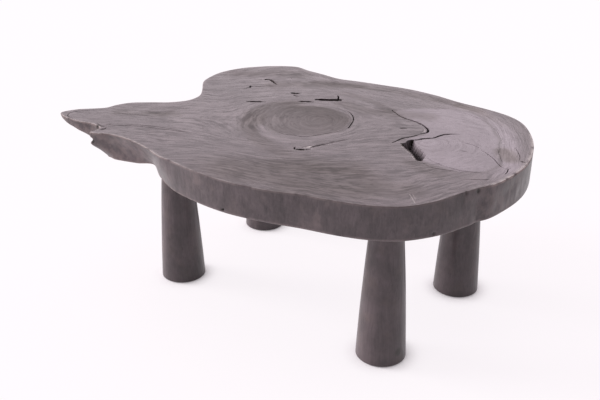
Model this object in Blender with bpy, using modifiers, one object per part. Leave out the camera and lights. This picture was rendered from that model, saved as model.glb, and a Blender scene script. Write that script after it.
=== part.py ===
"""Live edge coffee table: one slice of a trunk on four turned legs.

Metres, +Z up. The origin is on the floor under the middle of the slab. +X runs along the slab,
with the pointed tail at -X, and -Y is the front.
"""
import math

import bmesh
import bpy
from mathutils import Vector

# Fit between pieces that touch.
FIT = 0.0003

# Slab.
SLAB_LENGTH = 1.070
SLAB_WIDTH = 0.773
TOP_HEIGHT = 0.420
SLAB_THICKNESS = 0.075
RIM_ARRIS = 0.002
FOOT_ARRIS = 0.004
OUTLINE_STEPS = 3

# Legs: the back pair stands a little wider than the front pair.
LEG_CENTRE_X = 0.041
LEG_CENTRE_Y = -0.010
LEG_FRONT_SPAN = 0.600
LEG_BACK_SPAN = 0.620
LEG_DEPTH_SPAN = 0.356
LEG_FOOT_RADIUS = 0.056
LEG_TOP_RADIUS = 0.033
LEG_SWELL = 0.002
LEG_FOOT_ROUND = 0.002
LEG_TOP_ARRIS = 0.001

# Felt pad under each leg.
PAD_RADIUS = 0.045
PAD_THICKNESS = 0.0012

# Steel stud, glued into the leg and turned into the plate.
STUD_RADIUS = 0.005
STUD_IN_LEG = 0.060
STUD_ABOVE_LEG = 0.022
STUD_CHAMFER = 0.001

# Steel plate let into the underside.
PLATE_RADIUS = 0.028
PLATE_THICKNESS = 0.003
BOSS_RADIUS = 0.010
BOSS_HEIGHT = 0.014

# Countersunk wood screws through the plate.
SCREW_COUNT = 3
SCREW_CIRCLE = 0.019
SCREW_HEAD_RADIUS = 0.0042
SCREW_HEAD_HEIGHT = 0.0024
SCREW_RADIUS = 0.0021
SCREW_LENGTH = 0.028
SCREW_POINT = 0.005

# Natural void and cracks in the top.
VOID_DEPTH = 0.045
CRACK_RADIUS = 0.0022
CRACK_DEPTH = 0.012

UNDERSIDE = TOP_HEIGHT - SLAB_THICKNESS
LEG_BOTTOM = PAD_THICKNESS + FIT
LEG_TOP = UNDERSIDE - FIT


def edge(x, y, waist=None, foot=None):
    """One place on the drawn live edge: rim, waist with its drop as a share of the thickness, and foot."""
    if waist is None:
        waist = (x, y, 0.5)
    if foot is None:
        foot = (x, y)
    return (x, y), waist, foot


# The live edge as drawn, which is stretched to the slab's length and width: from the tip of the tail
# along the back, round the right end and back along the front.
LIVE_EDGE = [
    edge(-535, -301, (-530, -300, 0.09), (-340, -262)),
    edge(-523, -263, (-515, -265, 0.13), (-340, -254)),
    edge(-495, -234, (-487, -239, 0.24), (-340, -244)),
    edge(-473, -209, (-464, -215, 0.33), (-341, -232)),
    edge(-468, -178, (-459, -184, 0.40), (-343, -215)),
    edge(-453, -145, (-445, -152, 0.45), (-346, -192)),
    edge(-417, -114, (-411, -121, 0.48), (-350, -160)),
    edge(-372, -80, (-368, -85, 0.49), (-348, -120)),
    edge(-347, -40, (-345, -42, 0.49), (-343, -70)),
    edge(-352, 6),
    edge(-385, 53, (-388, 53, 0.49), (-388, 54)),
    edge(-428, 104, (-433, 103, 0.49), (-433, 103)),
    edge(-446, 146, (-451, 146, 0.49), (-451, 146)),
    edge(-455, 208, (-458, 208, 0.49), (-458, 208)),
    edge(-437, 276),
    edge(-402, 325),
    edge(-357, 365),
    edge(-309, 387),
    edge(-259, 375),
    edge(-202, 367),
    edge(-137, 356),
    edge(-72, 367),
    edge(3, 377),
    edge(78, 384),
    edge(153, 377),
    edge(234, 358),
    edge(313, 347),
    edge(378, 330),
    edge(428, 296),
    edge(469, 240),
    edge(503, 172),
    edge(528, 90),
    edge(535, 15),
    edge(525, -70),
    edge(503, -118, (508, -117, 0.49), (511, -116)),
    edge(487, -158, (494, -156, 0.49), (497, -155)),
    edge(465, -220, (470, -217, 0.49), (473, -215)),
    edge(428, -277),
    edge(376, -311),
    edge(313, -333),
    edge(237, -350),
    edge(163, -374, (163, -372, 0.49), (163, -369)),
    edge(78, -386, (78, -385, 0.49), (78, -383)),
    edge(-7, -384, (-7, -383, 0.49), (-7, -380)),
    edge(-87, -372, (-88, -370, 0.49), (-92, -364)),
    edge(-131, -366, (-144, -352, 0.49), (-168, -329)),
    edge(-187, -348, (-209, -318, 0.49), (-233, -286)),
    edge(-259, -334, (-266, -309, 0.49), (-271, -302)),
    edge(-317, -337, (-322, -320, 0.53), (-327, -316)),
    edge(-342, -350, (-348, -336, 0.48), (-345, -315)),
    edge(-364, -354, (-372, -348, 0.43), (-362, -312)),
    edge(-362, -339, (-373, -337, 0.46), (-367, -303)),
    edge(-367, -322, (-375, -324, 0.48), (-362, -294)),
    edge(-382, -315, (-389, -316, 0.47), (-355, -287)),
    edge(-412, -312, (-416, -313, 0.41), (-350, -281)),
    edge(-447, -319, (-448, -319, 0.33), (-346, -275)),
    edge(-500, -317, (-499, -317, 0.19), (-342, -268)),
]

# Mouth of the natural void, and the centre lines of the cracks, drawn on the top.
VOID_MOUTH = [
    (261, 5), (264, 16), (262, 31), (267, 41), (276, 37), (286, 22), (304, 4), (326, -13), (338, -29), (343, -46),
    (345, -60), (337, -63), (327, -54), (315, -41), (301, -28), (287, -19), (273, -8),
]
CRACKS = {
    "bend_crack": [(128, 196), (161, 172), (205, 158), (236, 147), (262, 127), (273, 101), (261, 68), (246, 38),
                   (240, -8)],
    "void_crack": [(268, 38), (283, 59), (302, 80), (316, 121), (339, 134)],
    "ring_crack": [(34, 128), (72, 99), (90, 73), (107, 25)],
    "rough_crack": [(84, -160), (110, -150), (117, -112), (143, -54)],
    "straight_slot": [(-78, 159), (-53, 174), (-29, 189)],
}

CORNERS = {
    "front_left": (LEG_CENTRE_X - LEG_FRONT_SPAN / 2, LEG_CENTRE_Y - LEG_DEPTH_SPAN / 2),
    "front_right": (LEG_CENTRE_X + LEG_FRONT_SPAN / 2, LEG_CENTRE_Y - LEG_DEPTH_SPAN / 2),
    "back_left": (LEG_CENTRE_X - LEG_BACK_SPAN / 2, LEG_CENTRE_Y + LEG_DEPTH_SPAN / 2),
    "back_right": (LEG_CENTRE_X + LEG_BACK_SPAN / 2, LEG_CENTRE_Y + LEG_DEPTH_SPAN / 2),
}


def clear_scene():
    """Remove what the file holds, and make the collections of pieces and of cutters."""
    for old in list(bpy.data.objects):
        bpy.data.objects.remove(old, do_unlink=True)
    table = bpy.data.collections.new("live_edge_coffee_table")
    slab_cutters = bpy.data.collections.new("slab_cutters")
    plate_cutters = bpy.data.collections.new("plate_cutters")
    for collection in (table, slab_cutters, plate_cutters):
        bpy.context.scene.collection.children.link(collection)
    return table, slab_cutters, plate_cutters


def make_material(name, color, roughness, metallic):
    """A plain Principled material."""
    material = bpy.data.materials.new(name)
    material.use_nodes = True
    shader = material.node_tree.nodes["Principled BSDF"]
    shader.inputs["Base Color"].default_value = (*color, 1.0)
    shader.inputs["Roughness"].default_value = roughness
    shader.inputs["Metallic"].default_value = metallic
    return material


def add_object(name, mesh, collection, material=None, parent=None, location=(0, 0, 0)):
    """Put a mesh in a collection as a named object."""
    obj = bpy.data.objects.new(name, mesh)
    collection.objects.link(obj)
    obj.location = location
    obj.parent = parent
    if material is not None and not mesh.materials:
        mesh.materials.append(material)
    return obj


def as_cutter(obj):
    """Keep a cutter out of the finished part."""
    obj.hide_render = True
    obj.display_type = "WIRE"
    return obj


def profile_mesh(name, points):
    """An open outline of (radius, height) points, to be turned about Z."""
    mesh = bpy.data.meshes.new(name)
    verts = [(radius, 0.0, height) for radius, height in points]
    links = [(i, i + 1) for i in range(len(points) - 1)]
    mesh.from_pydata(verts, links, [])
    return mesh


def turn(obj, steps):
    """Turn a profile round the object's Z axis into a closed solid."""
    screw = obj.modifiers.new("turned", "SCREW")
    screw.axis = "Z"
    screw.angle = math.tau
    screw.steps = steps
    screw.render_steps = steps
    screw.use_merge_vertices = True
    screw.merge_threshold = 0.00001
    screw.use_smooth_shade = True
    return obj


def drawn_span(axis):
    """The ends of the drawn rim along X (0) or Y (1)."""
    places = [rim[axis] for rim, _, _ in LIVE_EDGE]
    return min(places), max(places)


def on_slab(x, y, height):
    """A drawn place at the slab's made length and width."""
    left, right = drawn_span(0)
    front, back = drawn_span(1)
    return Vector(((x - (left + right) / 2) * SLAB_LENGTH / (right - left),
                   (y - (front + back) / 2) * SLAB_WIDTH / (back - front), height))


def spline_ring(points):
    """A smooth closed ring through 3-D points, with the same number of steps between each pair."""
    count = len(points)
    ring = []
    for i in range(count):
        before, start, end, after = (points[(i + k) % count] for k in (-1, 0, 1, 2))
        for step in range(OUTLINE_STEPS):
            t = step / OUTLINE_STEPS
            ring.append(0.5 * (2 * start + (end - before) * t
                               + (2 * before - 5 * start + 4 * end - after) * t ** 2
                               + (3 * start - before - 3 * end + after) * t ** 3))
    return ring


def inset_ring(ring, distance, height):
    """The ring moved in by a distance and laid flat at a height. Rings run clockwise from above."""
    inset = []
    for i, point in enumerate(ring):
        along = (ring[(i + 1) % len(ring)] - ring[i - 1]).to_2d().normalized()
        inset.append(Vector((point.x + along.y * distance, point.y - along.x * distance, height)))
    return inset


def slab_mesh():
    """Loft the slab from its underside, foot, waist and rim rings."""
    rim = spline_ring([on_slab(x, y, TOP_HEIGHT - RIM_ARRIS) for (x, y), _, _ in LIVE_EDGE])
    waist = spline_ring([on_slab(x, y, TOP_HEIGHT - SLAB_THICKNESS * drop)
                         for _, (x, y, drop), _ in LIVE_EDGE])
    foot = spline_ring([on_slab(x, y, UNDERSIDE + FOOT_ARRIS) for _, _, (x, y) in LIVE_EDGE])
    bottom = inset_ring(foot, FOOT_ARRIS, UNDERSIDE)
    top = inset_ring(rim, RIM_ARRIS, TOP_HEIGHT)
    rings = [bottom, foot, waist, rim, top]
    bm = bmesh.new()
    loops = [[bm.verts.new(point) for point in ring] for ring in rings]
    count = len(rim)
    for lower, upper in zip(loops, loops[1:]):
        for i in range(count):
            j = (i + 1) % count
            bm.faces.new((lower[j], lower[i], upper[i], upper[j]))
    bm.faces.new(loops[0])
    bm.faces.new(reversed(loops[-1]))
    bmesh.ops.recalc_face_normals(bm, faces=bm.faces)
    mesh = bpy.data.meshes.new("slab_top")
    bm.to_mesh(mesh)
    bm.free()
    mesh.shade_smooth()
    mesh.set_sharp_from_angle(angle=math.radians(35))
    return mesh


def curve_to_mesh(curve_object):
    """Replace a curve object by a welded mesh object of the same name and place."""
    bpy.context.view_layer.update()
    evaluated = curve_object.evaluated_get(bpy.context.evaluated_depsgraph_get())
    mesh = bpy.data.meshes.new_from_object(evaluated)
    bm = bmesh.new()
    bm.from_mesh(mesh)
    bmesh.ops.remove_doubles(bm, verts=bm.verts, dist=0.00001)
    bmesh.ops.recalc_face_normals(bm, faces=bm.faces)
    bm.to_mesh(mesh)
    bm.free()
    collection = curve_object.users_collection[0]
    name = curve_object.name
    place = curve_object.matrix_world.copy()
    bpy.data.objects.remove(curve_object, do_unlink=True)
    solid = add_object(name, mesh, collection)
    solid.matrix_world = place
    return solid


def make_void(cutters):
    """The open natural void: a smooth mouth cut straight down."""
    curve = bpy.data.curves.new("natural_void", "CURVE")
    curve.dimensions = "2D"
    curve.fill_mode = "BOTH"
    curve.extrude = VOID_DEPTH
    curve.resolution_u = 3
    spline = curve.splines.new("BEZIER")
    spline.bezier_points.add(len(VOID_MOUTH) - 1)
    spline.use_cyclic_u = True
    for point, (x, y) in zip(spline.bezier_points, VOID_MOUTH):
        point.co = on_slab(x, y, 0.0)
        point.handle_left_type = "AUTO"
        point.handle_right_type = "AUTO"
    obj = bpy.data.objects.new("natural_void", curve)
    cutters.objects.link(obj)
    obj.location.z = TOP_HEIGHT
    as_cutter(curve_to_mesh(obj))


def make_crack(name, points, cutters):
    """A crack: a tube along its line, thin at both ends and drawn out downwards."""
    curve = bpy.data.curves.new(name, "CURVE")
    curve.dimensions = "3D"
    curve.bevel_depth = CRACK_RADIUS
    curve.bevel_resolution = 1
    curve.resolution_u = 3
    curve.use_fill_caps = True
    spline = curve.splines.new("BEZIER")
    spline.bezier_points.add(len(points) - 1)
    for i, (point, (x, y)) in enumerate(zip(spline.bezier_points, points)):
        point.co = on_slab(x, y, 0.0)
        point.handle_left_type = "AUTO"
        point.handle_right_type = "AUTO"
        point.radius = 0.35 if i in (0, len(points) - 1) else 1.0
    obj = bpy.data.objects.new(name, curve)
    cutters.objects.link(obj)
    obj.location.z = TOP_HEIGHT
    obj.scale.z = CRACK_DEPTH / CRACK_RADIUS
    as_cutter(curve_to_mesh(obj))


def leg_radius(height):
    """Radius of the turned leg at a height, a straight taper with a slight swell."""
    share = (height - LEG_BOTTOM) / (LEG_TOP - LEG_BOTTOM)
    straight = LEG_FOOT_RADIUS + (LEG_TOP_RADIUS - LEG_FOOT_RADIUS) * share
    return straight + LEG_SWELL * 4 * share * (1 - share)


def leg_profile():
    """The leg's outline, from the bottom of its stud hole over the top and down to the floor end."""
    bore = STUD_RADIUS + FIT
    points = [(0.0, LEG_TOP - STUD_IN_LEG - FIT), (bore, LEG_TOP - STUD_IN_LEG - FIT), (bore, LEG_TOP)]
    points.append((leg_radius(LEG_TOP) - LEG_TOP_ARRIS, LEG_TOP))
    first = LEG_TOP - LEG_TOP_ARRIS
    last = LEG_BOTTOM + LEG_FOOT_ROUND
    for i in range(6):
        height = first + (last - first) * i / 5
        points.append((leg_radius(height), height))
    corner = leg_radius(last) - LEG_FOOT_ROUND
    for angle in (45, 90):
        turned = math.radians(angle)
        points.append((corner + LEG_FOOT_ROUND * math.cos(turned), last - LEG_FOOT_ROUND * math.sin(turned)))
    points.append((0.0, LEG_BOTTOM))
    return points


def pad_profile():
    """The felt pad's outline."""
    return [(0.0, PAD_THICKNESS), (PAD_RADIUS, PAD_THICKNESS), (PAD_RADIUS, 0.0), (0.0, 0.0)]


def stud_profile():
    """The stud's outline, chamfered at both ends."""
    top = LEG_TOP + STUD_ABOVE_LEG
    bottom = LEG_TOP - STUD_IN_LEG
    return [(0.0, top), (STUD_RADIUS - STUD_CHAMFER, top), (STUD_RADIUS, top - STUD_CHAMFER),
            (STUD_RADIUS, bottom + STUD_CHAMFER), (STUD_RADIUS - STUD_CHAMFER, bottom), (0.0, bottom)]


def plate_profile():
    """The plate and its boss, bored for the stud: a closed outline that starts and ends in the bore."""
    bore = STUD_RADIUS + FIT
    face = UNDERSIDE + PLATE_THICKNESS
    boss_top = face + BOSS_HEIGHT
    return [(bore, UNDERSIDE), (bore, boss_top), (BOSS_RADIUS, boss_top), (BOSS_RADIUS, face),
            (PLATE_RADIUS, face), (PLATE_RADIUS, UNDERSIDE), (bore, UNDERSIDE)]


def seat_profile():
    """The hollow for plate, boss and stud end in the slab, reaching below the underside."""
    face = UNDERSIDE + PLATE_THICKNESS + FIT
    boss_top = face + BOSS_HEIGHT
    stud_top = LEG_TOP + STUD_ABOVE_LEG + FIT
    below = UNDERSIDE - PLATE_THICKNESS
    stud = STUD_RADIUS + 2 * FIT
    boss = BOSS_RADIUS + FIT
    plate = PLATE_RADIUS + FIT
    return [(0.0, stud_top), (stud, stud_top), (stud, boss_top), (boss, boss_top),
            (boss, face), (plate, face), (plate, below), (0.0, below)]


def screw_profile(grow, below):
    """A countersunk screw, head down, grown all round by a clearance and run on below its head."""
    head = UNDERSIDE + FIT
    neck = head + SCREW_HEAD_HEIGHT
    tip = head + SCREW_LENGTH
    shank = SCREW_RADIUS + grow
    rim = SCREW_HEAD_RADIUS + grow
    return [(0.0, tip + grow), (shank, tip - SCREW_POINT + grow), (shank, neck + grow),
            (rim, head + grow), (rim, head - below), (0.0, head - below)]


def screw_spots():
    """Places of the screws round the middle of a plate."""
    for i in range(SCREW_COUNT):
        angle = math.tau * (i + 0.25) / SCREW_COUNT
        yield Vector((SCREW_CIRCLE * math.cos(angle), SCREW_CIRCLE * math.sin(angle), 0.0))


def subtract(obj, collection):
    """Cut every solid of a collection out of an object."""
    cut = obj.modifiers.new("cut", "BOOLEAN")
    cut.operation = "DIFFERENCE"
    cut.solver = "EXACT"
    cut.operand_type = "COLLECTION"
    cut.collection = collection


def build_table():
    """Make every piece of the table."""
    table, slab_cutters, plate_cutters = clear_scene()
    slab_wood = make_material("stained_slab_wood", (0.085, 0.066, 0.070), 0.45, 0.0)
    leg_wood = make_material("stained_leg_wood", (0.078, 0.061, 0.065), 0.45, 0.0)
    steel = make_material("zinc_plated_steel", (0.55, 0.56, 0.57), 0.35, 1.0)
    felt = make_material("dark_felt", (0.045, 0.042, 0.042), 0.95, 0.0)

    slab = add_object("slab_top", slab_mesh(), table, slab_wood)
    make_void(slab_cutters)
    for name, points in CRACKS.items():
        make_crack(name, points, slab_cutters)

    leg = profile_mesh("turned_leg", leg_profile())
    pad = profile_mesh("felt_pad", pad_profile())
    stud = profile_mesh("steel_stud", stud_profile())
    plate = profile_mesh("steel_plate", plate_profile())
    seat = profile_mesh("plate_seat", seat_profile())
    screw = profile_mesh("wood_screw", screw_profile(0.0, 0.0))
    screw_hole = profile_mesh("screw_hole", screw_profile(FIT, PLATE_THICKNESS))

    for i, spot in enumerate(screw_spots()):
        hole = add_object(f"countersink_{i + 1}", screw_hole, plate_cutters, location=spot)
        as_cutter(turn(hole, 12))

    for corner, (x, y) in CORNERS.items():
        station = bpy.data.objects.new(f"station_{corner}", None)
        table.objects.link(station)
        station.location = (x, y, 0.0)
        turn(add_object(f"leg_{corner}", leg, table, leg_wood, station), 36)
        turn(add_object(f"foot_pad_{corner}", pad, table, felt, station), 32)
        turn(add_object(f"leg_stud_{corner}", stud, table, steel, station), 18)
        as_cutter(turn(add_object(f"seat_{corner}", seat, slab_cutters, parent=station), 24))
        for i, spot in enumerate(screw_spots()):
            piece = add_object(f"plate_screw_{corner}_{i + 1}", screw, table, steel, station, spot)
            turn(piece, 12)
            hole = add_object(f"pilot_{corner}_{i + 1}", screw_hole, slab_cutters, None, station, spot)
            as_cutter(turn(hole, 12))

    bpy.context.view_layer.update()
    plate_solid = turn(add_object("plate_blank", plate, table, steel), 24)
    subtract(plate_solid, plate_cutters)
    bpy.context.view_layer.update()
    evaluated = plate_solid.evaluated_get(bpy.context.evaluated_depsgraph_get())
    drilled = bpy.data.meshes.new_from_object(evaluated)
    drilled.name = "drilled_plate"
    bpy.data.objects.remove(plate_solid, do_unlink=True)
    for corner in CORNERS:
        add_object(f"leg_plate_{corner}", drilled, table, steel, bpy.data.objects[f"station_{corner}"])

    subtract(slab, slab_cutters)


build_table()
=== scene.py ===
"""Looks of the live edge coffee table: stained slab with its cracks, turned legs, fixings and a studio.

Metres, +Z up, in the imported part's frame. Places on the slab are drawn in millimetres, as in the part's
source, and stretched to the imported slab's length and width.
"""
import logging
import math
from dataclasses import dataclass, field
from enum import Enum
from typing import Any

import bpy
import numpy as np
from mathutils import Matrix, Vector, noise
from mathutils.geometry import delaunay_2d_cdt
from mathutils.kdtree import KDTree


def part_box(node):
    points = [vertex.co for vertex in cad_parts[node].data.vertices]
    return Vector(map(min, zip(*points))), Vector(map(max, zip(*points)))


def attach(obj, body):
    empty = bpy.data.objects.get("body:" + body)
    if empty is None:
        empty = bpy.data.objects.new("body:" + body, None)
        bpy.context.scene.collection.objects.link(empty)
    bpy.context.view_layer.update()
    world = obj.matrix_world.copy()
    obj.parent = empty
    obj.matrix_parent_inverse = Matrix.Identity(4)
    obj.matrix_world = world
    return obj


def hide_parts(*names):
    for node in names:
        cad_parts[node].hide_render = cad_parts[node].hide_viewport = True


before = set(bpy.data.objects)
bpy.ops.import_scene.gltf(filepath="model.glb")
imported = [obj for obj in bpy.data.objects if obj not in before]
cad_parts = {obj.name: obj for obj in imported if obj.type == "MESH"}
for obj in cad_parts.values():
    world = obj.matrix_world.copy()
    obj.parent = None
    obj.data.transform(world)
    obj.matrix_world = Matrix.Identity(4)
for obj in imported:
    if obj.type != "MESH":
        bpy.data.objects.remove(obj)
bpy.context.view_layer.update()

LOG = logging.getLogger("live_edge_coffee_table")
MM = 0.001
TINY = 1e-12
UP = Vector((0.0, 0.0, 1.0))

Point = tuple[float, float]
Range = tuple[float, float]
Triple = tuple[float, float, float]
Colour = tuple[float, float, float]
# Height, bumps in a metre and seed of a smooth noise.
Wave = tuple[float, float, float]
Socket = bpy.types.NodeSocket


class Corner(Enum):
    """The four places of the legs."""

    FRONT_LEFT = "front_left"
    FRONT_RIGHT = "front_right"
    BACK_LEFT = "back_left"
    BACK_RIGHT = "back_right"


class Slot(Enum):
    """The record's material slots of the slab and the legs."""

    SLAB = "slab_wood"
    LEG = "leg_wood"


class Face(Enum):
    """Which of the slab's materials a face takes."""

    SAWN = 0
    LIVE_EDGE = 1


def smoothstep(value: np.ndarray, start: float, end: float) -> np.ndarray:
    """Rise smoothly from 0 at start to 1 at end, which may lie below start."""
    share = np.clip((value - start) / (end - start), 0.0, 1.0)
    return share * share * (3.0 - 2.0 * share)


def noise_at(points: np.ndarray, per_metre: float, seed: float) -> np.ndarray:
    """Smooth noise of about -1 to 1 at each point.

    Args:
        points: places, as rows of two or three numbers.
        per_metre: how many bumps there are in a metre.
        seed: shift along the third axis that picks another pattern.

    Returns:
        One value for each point.
    """
    spots = np.zeros((len(points), 3))
    spots[:, :points.shape[1]] = points * per_metre
    spots[:, 2] += seed
    return np.array([noise.noise(Vector(spot)) for spot in spots])


def waver_at(points: np.ndarray, *waves: Wave) -> np.ndarray:
    """Add up smooth noises at each point."""
    return sum(height * noise_at(points, per_metre, seed) for height, per_metre, seed in waves)


def away_from(points: np.ndarray, place: Any) -> np.ndarray:
    """Distance of each point from one place."""
    return np.linalg.norm(points - np.array(place), axis=1)


def outward(ring: np.ndarray) -> np.ndarray:
    """Find which way is out of a ring.

    Args:
        ring: places of a ring that runs clockwise from above.

    Returns:
        The level outward direction at each place.
    """
    along = (np.roll(ring, -1, 0) - np.roll(ring, 1, 0))[:, :2]
    along /= np.maximum(np.linalg.norm(along, axis=1), TINY)[:, None]
    return np.column_stack([-along[:, 1], along[:, 0]])


def spline(points: np.ndarray, steps: int, closed: bool) -> np.ndarray:
    """A smooth line through points, with the same number of steps between each pair.

    Args:
        points: rows of places.
        steps: steps between one point and the next.
        closed: whether the line runs back to its first point.

    Returns:
        Rows of places along the line.
    """
    if closed:
        before, start = np.roll(points, 1, 0), points
        end, after = np.roll(points, -1, 0), np.roll(points, -2, 0)
    else:
        start, end = points[:-1], points[1:]
        before = np.vstack([2 * points[:1] - points[1:2], points[:-2]])
        after = np.vstack([points[2:], 2 * points[-1:] - points[-2:-1]])
    rows = []
    for step in range(steps):
        t = step / steps
        rows.append(0.5 * (2 * start + (end - before) * t
                           + (2 * before - 5 * start + 4 * end - after) * t ** 2
                           + (3 * start - before - 3 * end + after) * t ** 3))
    line = np.stack(rows, 1).reshape(-1, points.shape[1])
    return line if closed else np.vstack([line, points[-1:]])


def nearest_on_line(points: np.ndarray, line: np.ndarray) -> tuple[np.ndarray, np.ndarray]:
    """Find the nearest place on a line for each point.

    Args:
        points: places on the plan.
        line: the line's places in order.

    Returns:
        The distance of each point, and the place along the line counted in its points.
    """
    best = np.full(len(points), np.inf)
    place = np.zeros(len(points))
    for i, (start, end) in enumerate(zip(line[:-1], line[1:])):
        along = end - start
        t = np.clip((points - start) @ along / max(along @ along, TINY), 0.0, 1.0)
        distance = np.linalg.norm(points - start - t[:, None] * along, axis=1)
        nearer = distance < best
        best[nearer] = distance[nearer]
        place[nearer] = i + t[nearer]
    return best, place


def inside_outline(points: np.ndarray, outline: np.ndarray) -> np.ndarray:
    """Tell which points lie inside a closed outline.

    Args:
        points: places on the plan.
        outline: the outline's places in order.

    Returns:
        True or False for each point.
    """
    inside = np.zeros(len(points), bool)
    x, y = points[:, 0], points[:, 1]
    for (x0, y0), (x1, y1) in zip(outline, np.roll(outline, -1, 0)):
        if y0 == y1:
            continue
        crosses = (y0 > y) != (y1 > y)
        inside ^= crosses & (x < x0 + (y - y0) * (x1 - x0) / (y1 - y0))
    return inside


def plan_middle(low: Vector, high: Vector) -> np.ndarray:
    """Middle of a box on the plan."""
    return np.array([(low.x + high.x) / 2.0, (low.y + high.y) / 2.0])


def in_scene(name: str, data: Any) -> bpy.types.Object:
    """Put a piece in the scene.

    Args:
        name: the piece's name.
        data: its mesh, light or camera.

    Returns:
        The piece.
    """
    piece = bpy.data.objects.new(name, data)
    bpy.context.scene.collection.objects.link(piece)
    return piece


@dataclass(frozen=True)
class EdgeStation:
    """One place on the drawn live edge: rim, waist with its drop as a share of the thickness, and foot."""

    rim: Point
    waist: Point
    drop: float
    foot: Point


def edge(x: float, y: float, waist: tuple[float, float, float] | None = None,
         foot: Point | None = None) -> EdgeStation:
    """Make one place on the drawn live edge.

    Args:
        x: place of the rim along the slab.
        y: place of the rim across the slab.
        waist: place of the waist and its drop, straight below the rim if left out.
        foot: place on the underside, straight below the rim if left out.

    Returns:
        The place.
    """
    waist = waist or (x, y, 0.5)
    return EdgeStation((x, y), waist[:2], waist[2], foot or (x, y))


# From the tip of the tail along the back, round the right end and back along the front.
LIVE_EDGE = (
    edge(-535, -301, (-530, -300, 0.09), (-340, -262)),
    edge(-523, -263, (-515, -265, 0.13), (-340, -254)),
    edge(-495, -234, (-487, -239, 0.24), (-340, -244)),
    edge(-473, -209, (-464, -215, 0.33), (-341, -232)),
    edge(-468, -178, (-459, -184, 0.40), (-343, -215)),
    edge(-453, -145, (-445, -152, 0.45), (-346, -192)),
    edge(-417, -114, (-411, -121, 0.48), (-350, -160)),
    edge(-372, -80, (-368, -85, 0.49), (-348, -120)),
    edge(-347, -40, (-345, -42, 0.49), (-343, -70)),
    edge(-352, 6),
    edge(-385, 53, (-388, 53, 0.49), (-388, 54)),
    edge(-428, 104, (-433, 103, 0.49), (-433, 103)),
    edge(-446, 146, (-451, 146, 0.49), (-451, 146)),
    edge(-455, 208, (-458, 208, 0.49), (-458, 208)),
    edge(-437, 276),
    edge(-402, 325),
    edge(-357, 365),
    edge(-309, 387),
    edge(-259, 375),
    edge(-202, 367),
    edge(-137, 356),
    edge(-72, 367),
    edge(3, 377),
    edge(78, 384),
    edge(153, 377),
    edge(234, 358),
    edge(313, 347),
    edge(378, 330),
    edge(428, 296),
    edge(469, 240),
    edge(503, 172),
    edge(528, 90),
    edge(535, 15),
    edge(525, -70),
    edge(503, -118, (508, -117, 0.49), (511, -116)),
    edge(487, -158, (494, -156, 0.49), (497, -155)),
    edge(465, -220, (470, -217, 0.49), (473, -215)),
    edge(428, -277),
    edge(376, -311),
    edge(313, -333),
    edge(237, -350),
    edge(163, -374, (163, -372, 0.49), (163, -369)),
    edge(78, -386, (78, -385, 0.49), (78, -383)),
    edge(-7, -384, (-7, -383, 0.49), (-7, -380)),
    edge(-87, -372, (-88, -370, 0.49), (-92, -364)),
    edge(-131, -366, (-144, -352, 0.49), (-168, -329)),
    edge(-187, -348, (-209, -318, 0.49), (-233, -286)),
    edge(-259, -334, (-266, -309, 0.49), (-271, -302)),
    edge(-317, -337, (-322, -320, 0.53), (-327, -316)),
    edge(-342, -350, (-348, -336, 0.48), (-345, -315)),
    edge(-364, -354, (-372, -348, 0.43), (-362, -312)),
    edge(-362, -339, (-373, -337, 0.46), (-367, -303)),
    edge(-367, -322, (-375, -324, 0.48), (-362, -294)),
    edge(-382, -315, (-389, -316, 0.47), (-355, -287)),
    edge(-412, -312, (-416, -313, 0.41), (-350, -281)),
    edge(-447, -319, (-448, -319, 0.33), (-346, -275)),
    edge(-500, -317, (-499, -317, 0.19), (-342, -268)),
)


@dataclass(frozen=True)
class Crack:
    """A natural crack, a scuff or a painted lip highlight, in millimetres: its drawn line, half width and
    depth.

    Start and end are the shares of its width at both ends, ragged says how much its width wavers, and the
    last value how pale a scuff is; on a crack's lip that paleness is a painted highlight.
    """

    line: tuple[Point, ...]
    half_width: float
    depth: float
    start: float = 0.1
    end: float = 0.1
    ragged: float = 0.3
    rubbed_and_highlight: float = 0.0


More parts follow.
